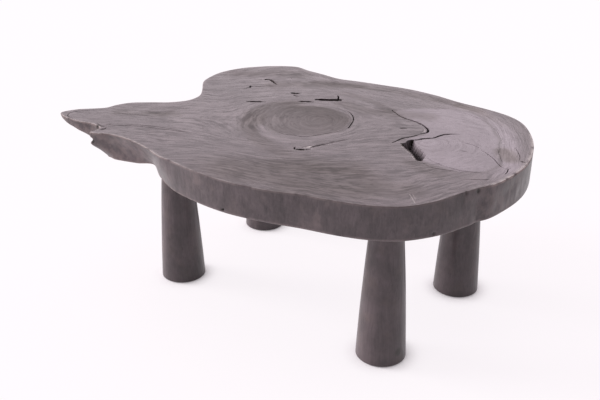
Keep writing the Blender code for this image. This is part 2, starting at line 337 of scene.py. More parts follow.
CRACKS = {
    "bend_crack": Crack(((128, 196), (161, 172), (182, 163), (205, 158), (222, 153), (236, 147), (250, 137),
                         (262, 127), (270, 115), (273, 101), (269, 91)), 2.9, 13, 0.55, 0.6),
    "bend_tail": Crack(((266, 86), (261, 68), (253, 50), (246, 38), (244, 24), (242, 5), (240, -8)),
                       2.1, 5, 0.7, 0.1, 0.9),
    # A pale sliver on the lip below the bend crack: painted highlight.
    "bend_lip_highlight": Crack(((256, 121), (262, 113), (264, 103), (261, 95)), 1.3, 0.2, rubbed_and_highlight=0.6),
    "void_crack": Crack(((268, 38), (277, 46), (283, 59), (292, 69), (302, 80), (307, 101), (313, 117),
                         (329, 131), (346, 139)), 3.0, 9, start=0.9, end=0.05),
    "ring_crack": Crack(((32, 129), (50, 120), (72, 99), (89, 74), (105, 32), (107, 25)),
                        1.3, 7, end=1.4, ragged=0.8),
    "heart_ring_line": Crack(((-37, -93), (8, -100), (32, -93), (52, -89), (68, -74), (85, -44), (99, -18),
                              (104, 5)), 1.0, 2, ragged=0.8),
    "rough_hole": Crack(((87, -163), (82, -156)), 2.2, 9, 0.6, 0.6, 0.2),
    "rough_dash": Crack(((94, -160), (101, -156), (108, -152)), 4.4, 9, 0.4, 0.3, 0.7),
    "rough_bit": Crack(((110, -147), (113, -143)), 2.6, 3, 0.5, 0.5),
    "rough_crack": Crack(((111, -130), (113, -122), (117, -111), (125, -96)), 4.2, 1.7, 0.5, 0.5, 0.9),
    "rough_line": Crack(((123, -99), (131, -82), (141, -59), (150, -36)), 3.0, 0.7, 0.8, 0.1, 0.9),
    "rough_speck": Crack(((102, -137), (104, -131), (105, -125)), 3.0, 0.2, 0.5, 0.5, rubbed_and_highlight=1.0),
    "rough_speck_2": Crack(((97, -143), (99, -139)), 1.8, 0.2, 0.5, 0.5, rubbed_and_highlight=0.7),
    "rough_speck_3": Crack(((108, -138), (110, -135)), 1.8, 0.2, 0.5, 0.5, rubbed_and_highlight=0.8),
    "straight_slot": Crack(((-78, 159), (-51, 175), (-29, 189)), 9.4, 24, 0.5, 0.8, 0.12),
    "slot_spur": Crack(((-33, 191), (-42, 207), (-54, 222)), 2.2, 7, start=1.0),
    "back_crack": Crack(((-302, 114), (-292, 125), (-293, 145), (-281, 158), (-268, 169), (-255, 190)),
                        1.5, 5, ragged=0.8),
    "back_hole": Crack(((-289, 141), (-297, 153)), 2.9, 8, 0.6, 0.6, 0.1),
    "back_hook": Crack(((-309, 219), (-296, 231), (-281, 228), (-262, 215), (-248, 207)),
                       3.8, 8, end=0.7, ragged=0.7),
    "left_dash": Crack(((-213, 40), (-201, 48), (-190, 55), (-178, 63)), 5.4, 10, 0.4, 0.15),
    "back_dash": Crack(((-168, 169), (-155, 168), (-147, 178)), 5.4, 7, 0.3, 0.3, 0.8),
    "back_dash_2": Crack(((-152, 158), (-142, 152), (-134, 151)), 3.4, 2.4, 0.3, 0.3, 0.8),
    "heart_dash": Crack(((-107, 119), (-92, 128), (-75, 136)), 5.0, 9, 0.3, 0.3),
    "burl_mark": Crack(((208, 91), (214, 97), (220, 101)), 3.0, 2.0, 0.3, 0.3),
    "knot_crack": Crack(((417, 76), (439, 61), (461, 44), (483, 20), (497, 7), (512, 4), (514, 14)),
                        1.1, 2.6),
    "burl_arc": Crack(((370, 92), (394, 91), (423, 77)), 1.2, 1.5, ragged=0.6),
    "burl_fleck": Crack(((388, 44), (396, 45), (403, 43)), 2.0, 1.2, 0.3, 0.3),
    "burl_border": Crack(((260, 285), (294, 281), (324, 270), (367, 242), (413, 190), (443, 136),
                          (454, 99)), 1.8, 0.5, ragged=0.8),
    "knot_branch": Crack(((512, 4), (516, -12), (517, -27)), 1.1, 2.6, start=0.9),
    "knot_left": Crack(((449, 99), (462, 75), (478, 48), (493, 22)), 1.2, 0.9, ragged=0.7),
    "knot_right": Crack(((468, 133), (478, 127), (488, 113), (499, 96), (507, 80), (513, 60)), 1.0, 1.3),
    "end_check": Crack(((516, 61), (522, 61), (527, 59)), 1.9, 5, 0.4, 0.9),
    "burl_seam": Crack(((342, -34), (358, -44), (374, -52), (410, -60), (446, -57), (490, -40)),
                       2.2, 0.9, ragged=0.6),
    "burl_seam_low": Crack(((346, -64), (376, -79), (407, -76), (440, -67)), 2.0, 0.7, ragged=0.6),
    # A thin pale line along the void's near lip: painted highlight.
    "void_lip_highlight": Crack(((258, 2), (270, -11), (284, -22), (298, -32), (312, -44), (324, -57), (335, -67)),
                      1.2, 0.2, rubbed_and_highlight=0.35),
    "low_seam": Crack(((452, -100), (487, -80), (505, -65)), 0.9, 1.2),
    "tip_split": Crack(((-481, -240), (-503, -266), (-513, -288), (-499, -309), (-470, -314)), 0.9, 3),
    "notch_tear": Crack(((-396, -305), (-383, -308), (-372, -311), (-362, -309)), 3.2, 1.5, 0.3, 0.2, 0.9),
    "notch_tear_2": Crack(((-357, -330), (-352, -321), (-356, -311)), 2.6, 1.4, 0.3, 0.2, 0.9),
    "notch_tear_3": Crack(((-372, -300), (-369, -292), (-360, -287)), 2.4, 1.0, 0.3, 0.2, 0.9),
    "tail_line": Crack(((-364, -306), (-331, -276), (-281, -253), (-218, -234), (-149, -213)),
                       1.5, 1.1, ragged=0.8),
    "tail_line_front": Crack(((-352, -280), (-296, -249), (-237, -231), (-183, -219)),
                             1.3, 0.9, ragged=0.9),
    "tail_line_back": Crack(((-430, -232), (-372, -206), (-310, -182)), 0.9, 1.0, ragged=0.8),
    "front_scuff": Crack(((404, -222), (423, -242), (438, -258)), 1.2, 0.1, rubbed_and_highlight=0.40),
    "front_scuff_2": Crack(((411, -221), (428, -239)), 1.2, 0.1, rubbed_and_highlight=0.30),
}

# Mouth of the natural void, drawn on the top: the steep near lip, then back along the sloping far lip.
VOID_NEAR_LIP: tuple[Point, ...] = (
    (261, 5), (273, -8), (287, -19), (301, -28), (315, -41), (327, -54), (337, -63),
)
VOID_FAR_LIP: tuple[Point, ...] = (
    (345, -60), (343, -46), (338, -29), (326, -13), (304, 4),
    (286, 22), (276, 37), (267, 41), (262, 31), (264, 16),
)
VOID_MIDDLE: tuple[Point, ...] = ((267, 33), (271, 15), (287, 0), (306, -17), (326, -38), (338, -54))


@dataclass(frozen=True)
class Shade:
    """A stretch of darker or, below zero, paler wood: its drawn line and half width in millimetres.

    End is the share of its strength that is left at the end of the line.
    """

    line: tuple[Point, ...]
    half_width: float
    strength: float
    end: float = 1.0


SHADES = {
    "heart_band": Shade(((-110, 96), (-138, 66), (-147, 30), (-144, -12), (-112, -72), (-74, -117),
                         (-40, -141), (17, -178), (72, -194)), 31, 0.78, 0.45),
    "heart_crescent": Shade(((-62, -92), (-29, -122), (9, -133), (45, -127), (80, -108)), 16, -0.5),
    "front_streaks": Shade(((40, -330), (100, -308), (150, -284), (215, -258), (280, -225)), 84, 0.60),
    "front_middle": Shade(((120, -225), (175, -205), (235, -178)), 56, 0.34),
    "back_streaks": Shade(((-253, 200), (-197, 247), (-124, 288), (-63, 321)), 34, 0.45),
    "behind_heart": Shade(((2, 170), (84, 159), (156, 183), (220, 205)), 34, 0.45),
    "back_edge": Shade(((-165, 292), (-74, 317), (32, 342), (132, 342), (219, 340), (300, 330)), 26, 0.42),
    "slot_stream": Shade(((-50, 250), (10, 239), (77, 219), (120, 190)), 20, 0.34),
    "front_rim": Shade(((200, -345), (262, -318), (335, -272), (398, -208)), 46, 0.40),
    "before_void": Shade(((330, -80), (368, -98), (405, -102)), 27, 0.32),
    "burl_edge": Shade(((306, 264), (341, 244), (374, 223), (405, 186), (427, 146)), 15, -0.28),
    "band_back": Shade(((243, 329), (274, 322), (304, 315), (337, 300), (369, 282), (403, 253)),
                       19, 0.62, 0.35),
    "knot_fill": Shade(((462, 94), (479, 77), (494, 58)), 24, 0.85),
    "lobe_streaks": Shade(((-400, 230), (-330, 290), (-250, 330)), 46, 0.45),
    "tail_back": Shade(((-417, -215), (-345, -182), (-290, -151)), 24, 0.35),
    "tail_dark": Shade(((-356, -171), (-325, -160), (-316, -137)), 20, 0.35),
    "tail_pale": Shade(((-278, -175), (-258, -170), (-234, -161)), 15, -0.45),
}

# Border of the pale burl round the void, drawn on the top.
BURL_BORDER: tuple[Point, ...] = (
    (128, 196), (160, 238), (194, 269), (240, 292), (290, 299), (333, 277), (370, 238), (430, 155), (463, 66),
    (489, 15), (478, -42), (435, -66), (390, -68), (345, -60), (310, -20), (262, 10), (257, 47), (272, 90),
    (262, 123), (218, 152), (162, 172),
)


@dataclass(frozen=True)
class Pit:
    """A small pit in the live edge, in millimetres, and how dark its painted shade is."""

    place: Triple
    radius: float
    depth: float
    dark: float


EDGE_PITS = (
    Pit((444, -266, 418), 4, 1.4, 0.25),
    Pit((490, -151, 417), 4.5, 1.6, 0.32),
    Pit((505, -122, 414), 7, 2.2, 0.58),
    Pit((463, -226, 353), 6, 5.0, 0.62),
    Pit((467, -218, 357), 4, 2.0, 0.36),
    Pit((67, -384, 352), 3.6, 5.0, 0.65),
    Pit((-368, -352, 397), 10, 7.0, 0.60),
    Pit((-384, -316, 417), 7, 1.2, 0.40),
    Pit((-369, -325, 415), 6, 1.2, 0.35),
)


@dataclass(frozen=True)
class Spot:
    """A place on the plan with its reach, in metres, round which the live edge differs."""

    middle: Point
    reach: float

    def at(self, points: np.ndarray) -> np.ndarray:
        """How near each place is, from 1 in the middle down to 0."""
        return np.exp(-(away_from(points[:, :2], self.middle) / self.reach) ** 2)


# The torn notch beside the tail, and the upright fold at the right end.
NOTCH = Spot((-0.372, -0.330), 0.045)
FOLD = Spot((0.507, -0.123), 0.015)


@dataclass(frozen=True)
class Zone:
    """A part of the live edge that fades in along the slab and across it, over ranges in metres."""

    along: Range
    across: Range
    share: float = 1.0

    def at(self, points: np.ndarray) -> np.ndarray:
        """How much each place belongs to the zone."""
        return self.share * smoothstep(points[:, 0], *self.along) * smoothstep(points[:, 1], *self.across)


# Where the rim's arris is paler: marks of use and a painted highlight.
WORN_AND_LIT_FRONT_LEFT = Zone((0.02, -0.14), (-0.20, -0.30))
WORN_AND_LIT_RIGHT_END = Zone((0.40, 0.50), (-0.13, -0.05))
TORN_TAIL = Zone((-0.16, -0.30), (-0.22, -0.28))
TORN_RIGHT_END = Zone((0.47, 0.53), (0.12, -0.06), 0.9)
# Under the ledge beside the tail the live edge is painted paler: painted light.
LIT_LEDGE = Zone((-0.14, -0.21), (-0.25, -0.30))


@dataclass(frozen=True)
class GrowthPlan:
    """How the growth lines run, in metres on the plan: rings in the heart, and lines that flow past it."""

    heart_middle: Point = (-0.008, 0.008)
    heart_radius: float = 0.116
    heart_fade: Range = (1.06, 0.84)
    heart_back: Range = (-0.05, 0.11)
    heart_waver: Wave = (0.005, 18.0, 3.3)
    pith: Point = (0.035, 0.029)
    eye_radius: float = 0.145
    eye_lean: float = 0.022
    tail_tip: Point = (-0.535, -0.301)
    rim_reach: float = 0.500
    rim_share: Range = (0.55, 0.90)
    rim_stop: Range = (0.30, 0.10)
    ring_wavers: tuple[Wave, ...] = ((0.010, 8.0, 1.3), (0.0045, 23.0, 5.1))
    shade_waver: Wave = (0.3, 14.0, 6.4)
    shade_fade: Range = (1.25, 0.25)
    shade_end: Range = (0.45, 1.0)
    burl_middle: Point = (0.310, 0.045)
    burl_fade: Range = (0.006, -0.010)
    burl_waver: Wave = (0.004, 22.0, 8.8)
    burl_ring_wavers: tuple[Wave, ...] = ((0.010, 9.0, 7.7), (0.003, 30.0, 2.9))
    band_start: Range = (-0.002, 0.008)
    band_stop: Range = (0.060, 0.024)
    band_direction: Point = (0.8, 0.6)
    band_rise: Range = (0.05, 0.16)
    knot_middle: Point = (0.482, 0.070)
    knot_radius: float = 0.029
    knot_rings: Range = (2.2, 1.0)
    knot_fade: Range = (1.15, 0.8)
    knot_band: float = 0.7

    def tail_axes(self, plan: np.ndarray) -> tuple[np.ndarray, np.ndarray]:
        """Split places into the distance from the heart towards the tail, and the offset from that line.

        Args:
            plan: places on the plan.

        Returns:
            The distance and the offset of each place.
        """
        axis = np.subtract(self.tail_tip, self.heart_middle)
        axis = axis / np.linalg.norm(axis)
        from_heart = plan - np.array(self.heart_middle)
        return from_heart @ axis, from_heart[:, 1] * axis[0] - from_heart[:, 0] * axis[1]

    def rim_distance(self, from_heart: np.ndarray, rim: np.ndarray) -> np.ndarray:
        """Measure how far the rim is from the heart's middle.

        Args:
            from_heart: the directions to measure in.
            rim: the slab's rim on the plan.

        Returns:
            The distance in each direction.
        """
        rim_from_heart = rim - np.array(self.heart_middle)
        rim_angle = np.arctan2(rim_from_heart[:, 1], rim_from_heart[:, 0])
        order = np.argsort(rim_angle)
        angle = np.arctan2(from_heart[:, 1], from_heart[:, 0])
        reach = np.linalg.norm(rim_from_heart, axis=1)
        return np.interp(angle, rim_angle[order], reach[order], period=math.tau)

    def rings(self, plan: np.ndarray, rim: np.ndarray) -> np.ndarray:
        """Give the growth line that passes through each place.

        Inside the eye the lines are rings round the pith. Outside it they run along the tail's direction and
        part round the eye as a stream does, and near the rim they follow the rim.

        Args:
            plan: places on the plan.
            rim: the slab's rim on the plan.

        Returns:
            One value in metres for each place, the same all along a growth line.
        """
        along, offset = self.tail_axes(plan)
        from_heart = plan - np.array(self.heart_middle)
        radius = np.maximum(np.linalg.norm(from_heart, axis=1), TINY)
        eye = self.eye_radius + self.eye_lean * along / radius
        inward = np.clip(1.0 - radius / eye, 0.0, 1.0)
        to_pith = np.subtract(self.pith, self.heart_middle)
        ring = np.linalg.norm(from_heart - inward[:, None] * to_pith, axis=1)
        stream = np.abs(offset) * (1.0 - (eye / np.maximum(radius, eye)) ** 2)
        ring = np.where(radius < eye, ring, eye + stream)
        share = radius / self.rim_distance(from_heart, rim)
        near_rim = smoothstep(share, *self.rim_share) * smoothstep(along, *self.rim_stop)
        ring = ring + (self.rim_reach * share - ring) * near_rim
        return ring + waver_at(plan, *self.ring_wavers)

    def burl_rings(self, plan: np.ndarray) -> np.ndarray:
        """Give the swirl line through each place of the burl, with small rings round the knot.

        Args:
            plan: places on the plan.

        Returns:
            One value in metres for each place, the same all along a swirl line.
        """
        ring, knot = (away_from(plan, middle) for middle in (self.burl_middle, self.knot_middle))
        near = smoothstep(knot / self.knot_radius, *self.knot_rings)
        return ring + (knot - ring) * near + waver_at(plan, *self.burl_ring_wavers)

    def heart(self, plan: np.ndarray) -> np.ndarray:
        """Tell how much each place belongs to the heart's disc, which is darker towards its back.

        Args:
            plan: places on the plan.

        Returns:
            A share for each place.
        """
        radius = away_from(plan, self.heart_middle) + waver_at(plan, self.heart_waver)
        back = smoothstep(plan[:, 1] - self.heart_middle[1], *self.heart_back)
        return (0.5 + 0.5 * back) * smoothstep(radius / self.heart_radius, *self.heart_fade)

    def shade(self, plan: np.ndarray, lines: dict[str, np.ndarray]) -> np.ndarray:
        """Add up the drawn shades.

        Args:
            plan: places on the plan.
            lines: the line of each shade on the slab, by its name.

        Returns:
            How much darker each place is.
        """
        total = np.zeros(len(plan))
        waver = 1.0 + waver_at(plan, self.shade_waver)
        for name, line in lines.items():
            drawn = SHADES[name]
            away, place = nearest_on_line(plan, line)
            run = smoothstep(place / (len(line) - 1), *self.shade_end)
            strength = drawn.strength * (1.0 + (drawn.end - 1.0) * run)
            total += strength * smoothstep(away * waver / (drawn.half_width * MM), *self.shade_fade)
        return total

    def burl(self, plan: np.ndarray, border: np.ndarray) -> tuple[np.ndarray, np.ndarray, np.ndarray]:
        """Mark the pale burl, and the darker band and knot outside it.

        Args:
            plan: places on the plan.
            border: the burl's border on the plan.

        Returns:
            The share of burl, the share of band or knot, and how far outside the border, at each place.
        """
        distance, _ = nearest_on_line(plan, np.vstack([border, border[:1]]))
        outside = np.where(inside_outline(plan, border), -distance, distance)
        outside = outside + waver_at(plan, self.burl_waver)
        burl = smoothstep(outside, *self.burl_fade)
        from_burl = plan - np.array(self.burl_middle)
        right_end = smoothstep(from_burl @ np.array(self.band_direction), *self.band_rise)
        band = smoothstep(outside, *self.band_start) * smoothstep(outside, *self.band_stop) * right_end
        knot = smoothstep(away_from(plan, self.knot_middle) / self.knot_radius, *self.knot_fade)
        band = np.maximum(band, self.knot_band * knot)
        return burl * (1.0 - knot), band, np.maximum(outside, 0.0) * right_end


class Graph:
    """Short ways to fill a node tree."""

    def __init__(self, tree: bpy.types.NodeTree) -> None:
        """Keep the tree that the nodes go into."""
        self.tree = tree

    def feed(self, node: bpy.types.Node, feeds: dict[Any, Any]) -> bpy.types.Node:
        """Fill a node's inputs.

        Args:
            node: the node.
            feeds: values, or sockets to link from, by input name or number.

        Returns:
            The same node.
        """
        for name, value in feeds.items():
            if isinstance(value, Socket):
                self.tree.links.new(value, node.inputs[name])
            else:
                node.inputs[name].default_value = value
        return node

    def add(self, kind: str, feeds: dict[Any, Any] | None = None, **options: Any) -> bpy.types.Node:
        """Add a node.

        Args:
            kind: name of the node type.
            feeds: values, or sockets to link from, by input name or number.
            options: settings of the node itself.

        Returns:
            The new node.
        """
        node = self.tree.nodes.new(kind)
        for name, value in options.items():
            setattr(node, name, value)
        return self.feed(node, feeds or {})

    def math(self, operation: str, first: Any, second: Any = 0.0) -> Socket:
        """Work out one number from two values or sockets."""
        return self.add("ShaderNodeMath", {0: first, 1: second}, operation=operation).outputs[0]

    def weighted(self, *terms: tuple[Any, Any]) -> Socket:
        """Add up values, each multiplied by its weight.

        Args:
            terms: each value with its weight.

        Returns:
            The sum.
        """
        total = None
        for value, weight in terms:
            term = self.math("MULTIPLY", value, weight)
            total = term if total is None else self.math("ADD", total, term)
        return total

    def vector(self, operation: str, feeds: dict[Any, Any], result: str = "Vector") -> Socket:
        """Work out a vector, or with the result Value a number, from vectors."""
        return self.add("ShaderNodeVectorMath", feeds, operation=operation).outputs[result]

    def scaled(self, vector: Any, factors: Any) -> Socket:
        """Multiply a vector by factors for its three axes."""
        return self.vector("MULTIPLY", {0: vector, 1: factors})

    def xyz(self, **parts: Any) -> Socket:
        """Put a vector together from its parts X, Y and Z."""
        return self.add("ShaderNodeCombineXYZ", parts).outputs[0]

    def noise(self, vector: Any, detail: float, roughness: float = 0.55) -> Socket:
        """A noise value at a vector that is already in counts."""
        return self.add("ShaderNodeTexNoise", {
            "Vector": vector, "Scale": 1.0, "Detail": detail, "Roughness": roughness}).outputs["Fac"]

    def between(self, value: Any, low: float, high: float, to_low: float = 0.0,
                to_high: float = 1.0) -> Socket:
        """Map a value smoothly from one range to another."""
        return self.add("ShaderNodeMapRange", {
            "Value": value, "From Min": low, "From Max": high, "To Min": to_low, "To Max": to_high},
            interpolation_type="SMOOTHSTEP").outputs[0]

    def mix(self, factor: Any, first: Any, second: Any) -> Socket:
        """Mix two colours, given as sockets or plain colours."""
        first, second = ((*colour, 1.0) if isinstance(colour, tuple) else colour
                         for colour in (first, second))
        return self.add("ShaderNodeMix", {0: factor, 6: first, 7: second}, data_type="RGBA").outputs[2]

    def mix_values(self, factor: Any, first: Any, second: Any) -> Socket:
        """Mix two numbers."""
        return self.add("ShaderNodeMix", {0: factor, 2: first, 3: second}, data_type="FLOAT").outputs[0]

    def attribute(self, name: str) -> Socket:
        """Read a number that the mesh holds at its points."""
        return self.add("ShaderNodeAttribute", attribute_name=name, attribute_type="GEOMETRY").outputs["Fac"]

    def place(self) -> Socket:
        """Read the object's own coordinates."""
        return self.add("ShaderNodeTexCoord").outputs["Object"]

    def group(self, tree: bpy.types.NodeTree, feeds: dict[str, Any]) -> bpy.types.Node:
        """Place a shader group with its own values."""
        return self.add("ShaderNodeGroup", feeds, node_tree=tree)

    def geometry(self, kind: str, feeds: dict[str, Any], result: str = "Geometry", **options: Any) -> Socket:
        """Add a geometry node by the end of its name and give its result."""
        return self.add(f"GeometryNode{kind}", feeds, **options).outputs[result]


def new_group(name: str, kind: str, inputs: dict[str, tuple[str, ...]],
              outputs: dict[str, tuple[str, ...]]) -> tuple[Graph, Any, bpy.types.Node]:
    """Start a node group with named sockets.

    Args:
        name: the group's name.
        kind: name of the tree type.
        inputs: names of the inputs, by the type of socket.
        outputs: names of the outputs, by the type of socket.

    Returns:
        The graph to fill, its input sockets and its output node.
    """
    tree = bpy.data.node_groups.new(name, kind)
    for sockets, direction in ((inputs, "INPUT"), (outputs, "OUTPUT")):
        for socket_type, names in sockets.items():
            for socket in names:
                tree.interface.new_socket(name=socket, in_out=direction,
                                          socket_type=f"NodeSocket{socket_type}")
    graph = Graph(tree)
    return graph, graph.add("NodeGroupInput").outputs, graph.add("NodeGroupOutput")


@dataclass(frozen=True)
class StainedGrain:
    """The grain that all stained wood shares: tone and height of lines drawn along one direction of a vector.

    The stretches say how many counts of each kind of mark there are to a line, and the weights how much each
    kind adds to the tone.
    """

    broad_stretch: Triple = (0.55, 0.55, 0.30)
    dash_stretch: Triple = (2.6, 2.6, 1.5)
    fibre_stretch: Triple = (3.1, 3.1, 3.7)
    patch_stretch: Triple = (0.8, 0.8, 0.13)
    broad_weight: float = 0.50
    line_weight: float = 0.42
    dash_weight: float = 0.30
    fibre_weight: float = 0.40
    mean: float = 0.81
    line_range: Range = (0.32, 0.68)
    dash_range: Range = (0.34, 0.66)
    fleck_range: Range = (0.58, 0.70)
    patch_range: Range = (0.38, 0.62)
    patch_swing: Range = (0.60, 1.40)
    line_height: float = 0.6
    fibre_height: float = 0.4
    fleck_depth: float = 0.6

    def make(self) -> bpy.types.NodeTree:
        """Make the shader group.

        Returns:
            The group, with inputs Grain, Lines, Flecks, Contrast and Fleck Share.
        """
        graph, given, result = new_group(
            "stained_grain", "ShaderNodeTree",
            {"Vector": ("Grain", "Lines", "Flecks"), "Float": ("Contrast", "Fleck Share")},
            {"Float": ("Tone", "Height")})
        lines_at = graph.scaled(given["Grain"], given["Lines"])
        broad = graph.noise(graph.scaled(lines_at, self.broad_stretch), 2.0)
        lines = graph.between(graph.noise(lines_at, 3.0, 0.6), *self.line_range)
        dashes = graph.between(graph.noise(graph.scaled(lines_at, self.dash_stretch), 2.0), *self.dash_range)
        fibres = graph.noise(graph.scaled(lines_at, self.fibre_stretch), 2.0)
        flecks = graph.noise(graph.scaled(given["Grain"], given["Flecks"]), 1.0)
        fleck = graph.math("MULTIPLY", graph.between(flecks, *self.fleck_range), given["Fleck Share"])
        mixed = graph.weighted((broad, self.broad_weight), (lines, self.line_weight),
                               (dashes, self.dash_weight), (fibres, self.fibre_weight))
        patches = graph.between(graph.noise(graph.scaled(lines_at, self.patch_stretch), 1.0),
                                *self.patch_range, *self.patch_swing)
        swing = graph.math("MULTIPLY", graph.math("SUBTRACT", mixed, self.mean),
                           graph.math("MULTIPLY", patches, given["Contrast"]))
        tone = graph.math("SUBTRACT", graph.math("ADD", swing, 0.5), fleck)
        graph.feed(result, {
            "Tone": graph.add("ShaderNodeClamp", {"Value": tone}).outputs[0],
            "Height": graph.weighted((lines, self.line_height), (fibres, self.fibre_height),
                                     (fleck, -self.fleck_depth))})
        return graph.tree


@dataclass(frozen=True)
class RubbedHighlightAndHollowShade:
    """Over every stain: pale patches of use and painted highlight, and brown black painted shade in hollows.
    """

    patches: float = 38.0
    patch_range: Range = (0.28, 0.55)
    full_hollow: float = 0.42

    def make(self) -> bpy.types.NodeTree:
        """Make the shader group.

        Returns:
            The group, with inputs Colour, Rubbed Colour, Deep Colour, Wear, Hollow and Place.
        """
        graph, given, result = new_group(
            "rubbed_highlight_and_hollow_shade", "ShaderNodeTree",
            {"Color": ("Colour", "Rubbed And Highlight Colour", "Deep Colour"), "Float": ("Wear And Highlight", "Hollow"),
             "Vector": ("Place",)}, {"Color": ("Colour",)})
        patches = graph.noise(graph.scaled(given["Place"], (self.patches,) * 3), 3.0)
        rubbed_and_highlight = graph.math("MULTIPLY", given["Wear And Highlight"], graph.between(patches, *self.patch_range))
        painted_light_and_wear = graph.mix(rubbed_and_highlight, given["Colour"], given["Rubbed And Highlight Colour"])
        # Hollows turn brown black: painted shade.
        deep = graph.between(given["Hollow"], 0.0, self.full_hollow)
        graph.feed(result, {"Colour": graph.mix(deep, painted_light_and_wear, given["Deep Colour"])})
        return graph.tree


def new_material(name: str) -> tuple[bpy.types.Material, Graph, bpy.types.Node]:
    """Start a material.

    Args:
        name: the material's name.

    Returns:
        The material, the graph of its nodes and its shader.
    """
    material = bpy.data.materials.new(name)
    material.use_nodes = True
    return material, Graph(material.node_tree), material.node_tree.nodes["Principled BSDF"]


@dataclass(frozen=True)
class StainLook:
    """What a stain puts out before it is worn: the grain, the colour and its level, and added dullness."""

    place: Socket
    tone: Socket
    height: Socket
    colour: Socket
    level: Socket
    dull: Socket


@dataclass(frozen=True, kw_only=True)
class Stain:
    """A charcoal stain: two tones along the grain, paler with use and painted highlight, painted shade in
    hollows.

    Lines and flecks are counts in a metre. Satin is the roughness added in the dark lines and that taken off
    in the pale ones.
    """

    dark: Colour
    pale: Colour
    rubbed_and_highlight: Colour
    deep: Colour
    lines: Triple
    flecks: Triple
    fleck_share: float
    contrast: float
    roughness: float
    satin: Range
    worn_dull: float
    bump_strength: float
    bump_height: float

    def grain_at(self, graph: Graph, grain: bpy.types.NodeTree, run: Socket, contrast: Any) -> Any:
        """Place the shared grain.

        Args:
            graph: the material's nodes.
            grain: the shared grain group.
            run: the vector that the lines are drawn along.
            contrast: how far the tone swings.

        Returns:
            The group's outputs.
        """
        return graph.group(grain, {"Grain": run, "Lines": self.lines, "Flecks": self.flecks,
                                   "Contrast": contrast, "Fleck Share": self.fleck_share}).outputs

    def lay(self, graph: Graph, shader: bpy.types.Node, wear_and_painted_light: bpy.types.NodeTree, look: StainLook) -> None:
        """Finish the stain with marks of use, painted highlights and painted shade, and feed it to the
        shader.

        Args:
            graph: the material's nodes.
            shader: the material's shader.
            wear_and_painted_light: the shared group that lays on pale marks of use, painted highlights and
                painted shade in hollows.
            look: what the stain puts out.
        """
        # The group pales the colour with marks of use and painted highlights, and darkens hollows with
        # painted shade.
        finished = graph.group(wear_and_painted_light, {
            "Colour": graph.vector("SCALE", {0: look.colour, "Scale": look.level}),
            "Rubbed And Highlight Colour": (*self.rubbed_and_highlight, 1.0), "Deep Colour": (*self.deep, 1.0),
            "Wear And Highlight": graph.attribute("wear_and_painted_light"), "Hollow": graph.attribute("hollow"), "Place": look.place})
        bump = graph.add("ShaderNodeBump", {
            "Strength": self.bump_strength, "Distance": self.bump_height, "Height": look.height})
        added, taken = self.satin
        satin = graph.between(look.tone, 0.0, 1.0, self.roughness + added, self.roughness - taken)
        graph.feed(shader, {
            "Base Color": finished.outputs["Colour"], "Roughness": graph.math("ADD", satin, look.dull),
            "Normal": bump.outputs["Normal"]})


@dataclass(frozen=True, kw_only=True)
class SawnStain(Stain):
    """The stain on the sawn top and underside, where the growth lines show and the burl is paler."""

    dark: Colour = (0.064, 0.0498, 0.0535)
    pale: Colour = (0.138, 0.1085, 0.1165)
    rubbed_and_highlight: Colour = (0.630, 0.572, 0.562)
    deep: Colour = (0.019, 0.0145, 0.0105)
    lines: Triple = (13.0, 13.0, 150.0)
    flecks: Triple = (78.0, 78.0, 230.0)
    fleck_share: float = 0.40
    contrast: float = 1.6
    roughness: float = 0.25
    satin: Range = (0.13, 0.05)
    worn_dull: float = 0.8
    bump_strength: float = 0.25
    bump_height: float = 0.8 * MM
    burl_dark: Colour = (0.132, 0.106, 0.120)
    burl_pale: Colour = (0.246, 0.206, 0.232)
    olive: Colour = (1.0, 0.97, 0.84)
    burl_contrast: float = 0.5
    heart_contrast: float = 0.8
    clouds: float = 7.0
    cloud_range: Range = (0.3, 0.7)
    cloud_swing: Range = (0.90, 1.10)
    band_shade: float = -0.10
    shade: float = 0.45
    shade_dull: float = 0.45

    def make(self, grain: bpy.types.NodeTree, wear_and_painted_light: bpy.types.NodeTree) -> bpy.types.Material:
        """Make the material.

        Args:
            grain: the shared grain group.
            wear_and_painted_light: the shared group that lays on pale marks of use, painted highlights and
                painted shade in hollows.

        Returns:
            The material.
        """
        material, graph, shader = new_material("charcoal_stain_sawn")
        place = graph.place()
        split = graph.add("ShaderNodeSeparateXYZ", {0: place}).outputs
        heart, burl, band, olive = (graph.attribute(name) for name in ("heart", "burl", "band", "shade"))
        growth_contrast = graph.between(heart, 0.0, 0.5, self.contrast, self.heart_contrast)
        looks = []
        for rings, contrast in (("growth", growth_contrast), ("burl_growth", self.burl_contrast)):
            run = graph.xyz(X=split["X"], Y=split["Y"], Z=graph.attribute(rings))
            looks.append(self.grain_at(graph, grain, run, contrast))
        tone, height = (graph.mix_values(burl, *(look[name] for look in looks))
                        for name in ("Tone", "Height"))
        colour = graph.mix(graph.math("MAXIMUM", burl, band), graph.mix(tone, self.dark, self.pale),
                           graph.mix(tone, self.burl_dark, self.burl_pale))
        colour = graph.mix(olive, colour, graph.scaled(colour, self.olive))
        cloud = graph.between(graph.noise(graph.scaled(place, (self.clouds,) * 3), 3.0),
                              *self.cloud_range, *self.cloud_swing)
        shade = graph.weighted((olive, self.shade), (band, self.band_shade))
        painted_light_and_wear = graph.math("MAXIMUM", graph.attribute("hollow"), graph.attribute("wear_and_painted_light"))
        self.lay(graph, shader, wear_and_painted_light, StainLook(
            place, tone, height, colour, graph.math("SUBTRACT", cloud, shade),
            graph.weighted((shade, self.shade_dull), (painted_light_and_wear, self.worn_dull))))
        return material


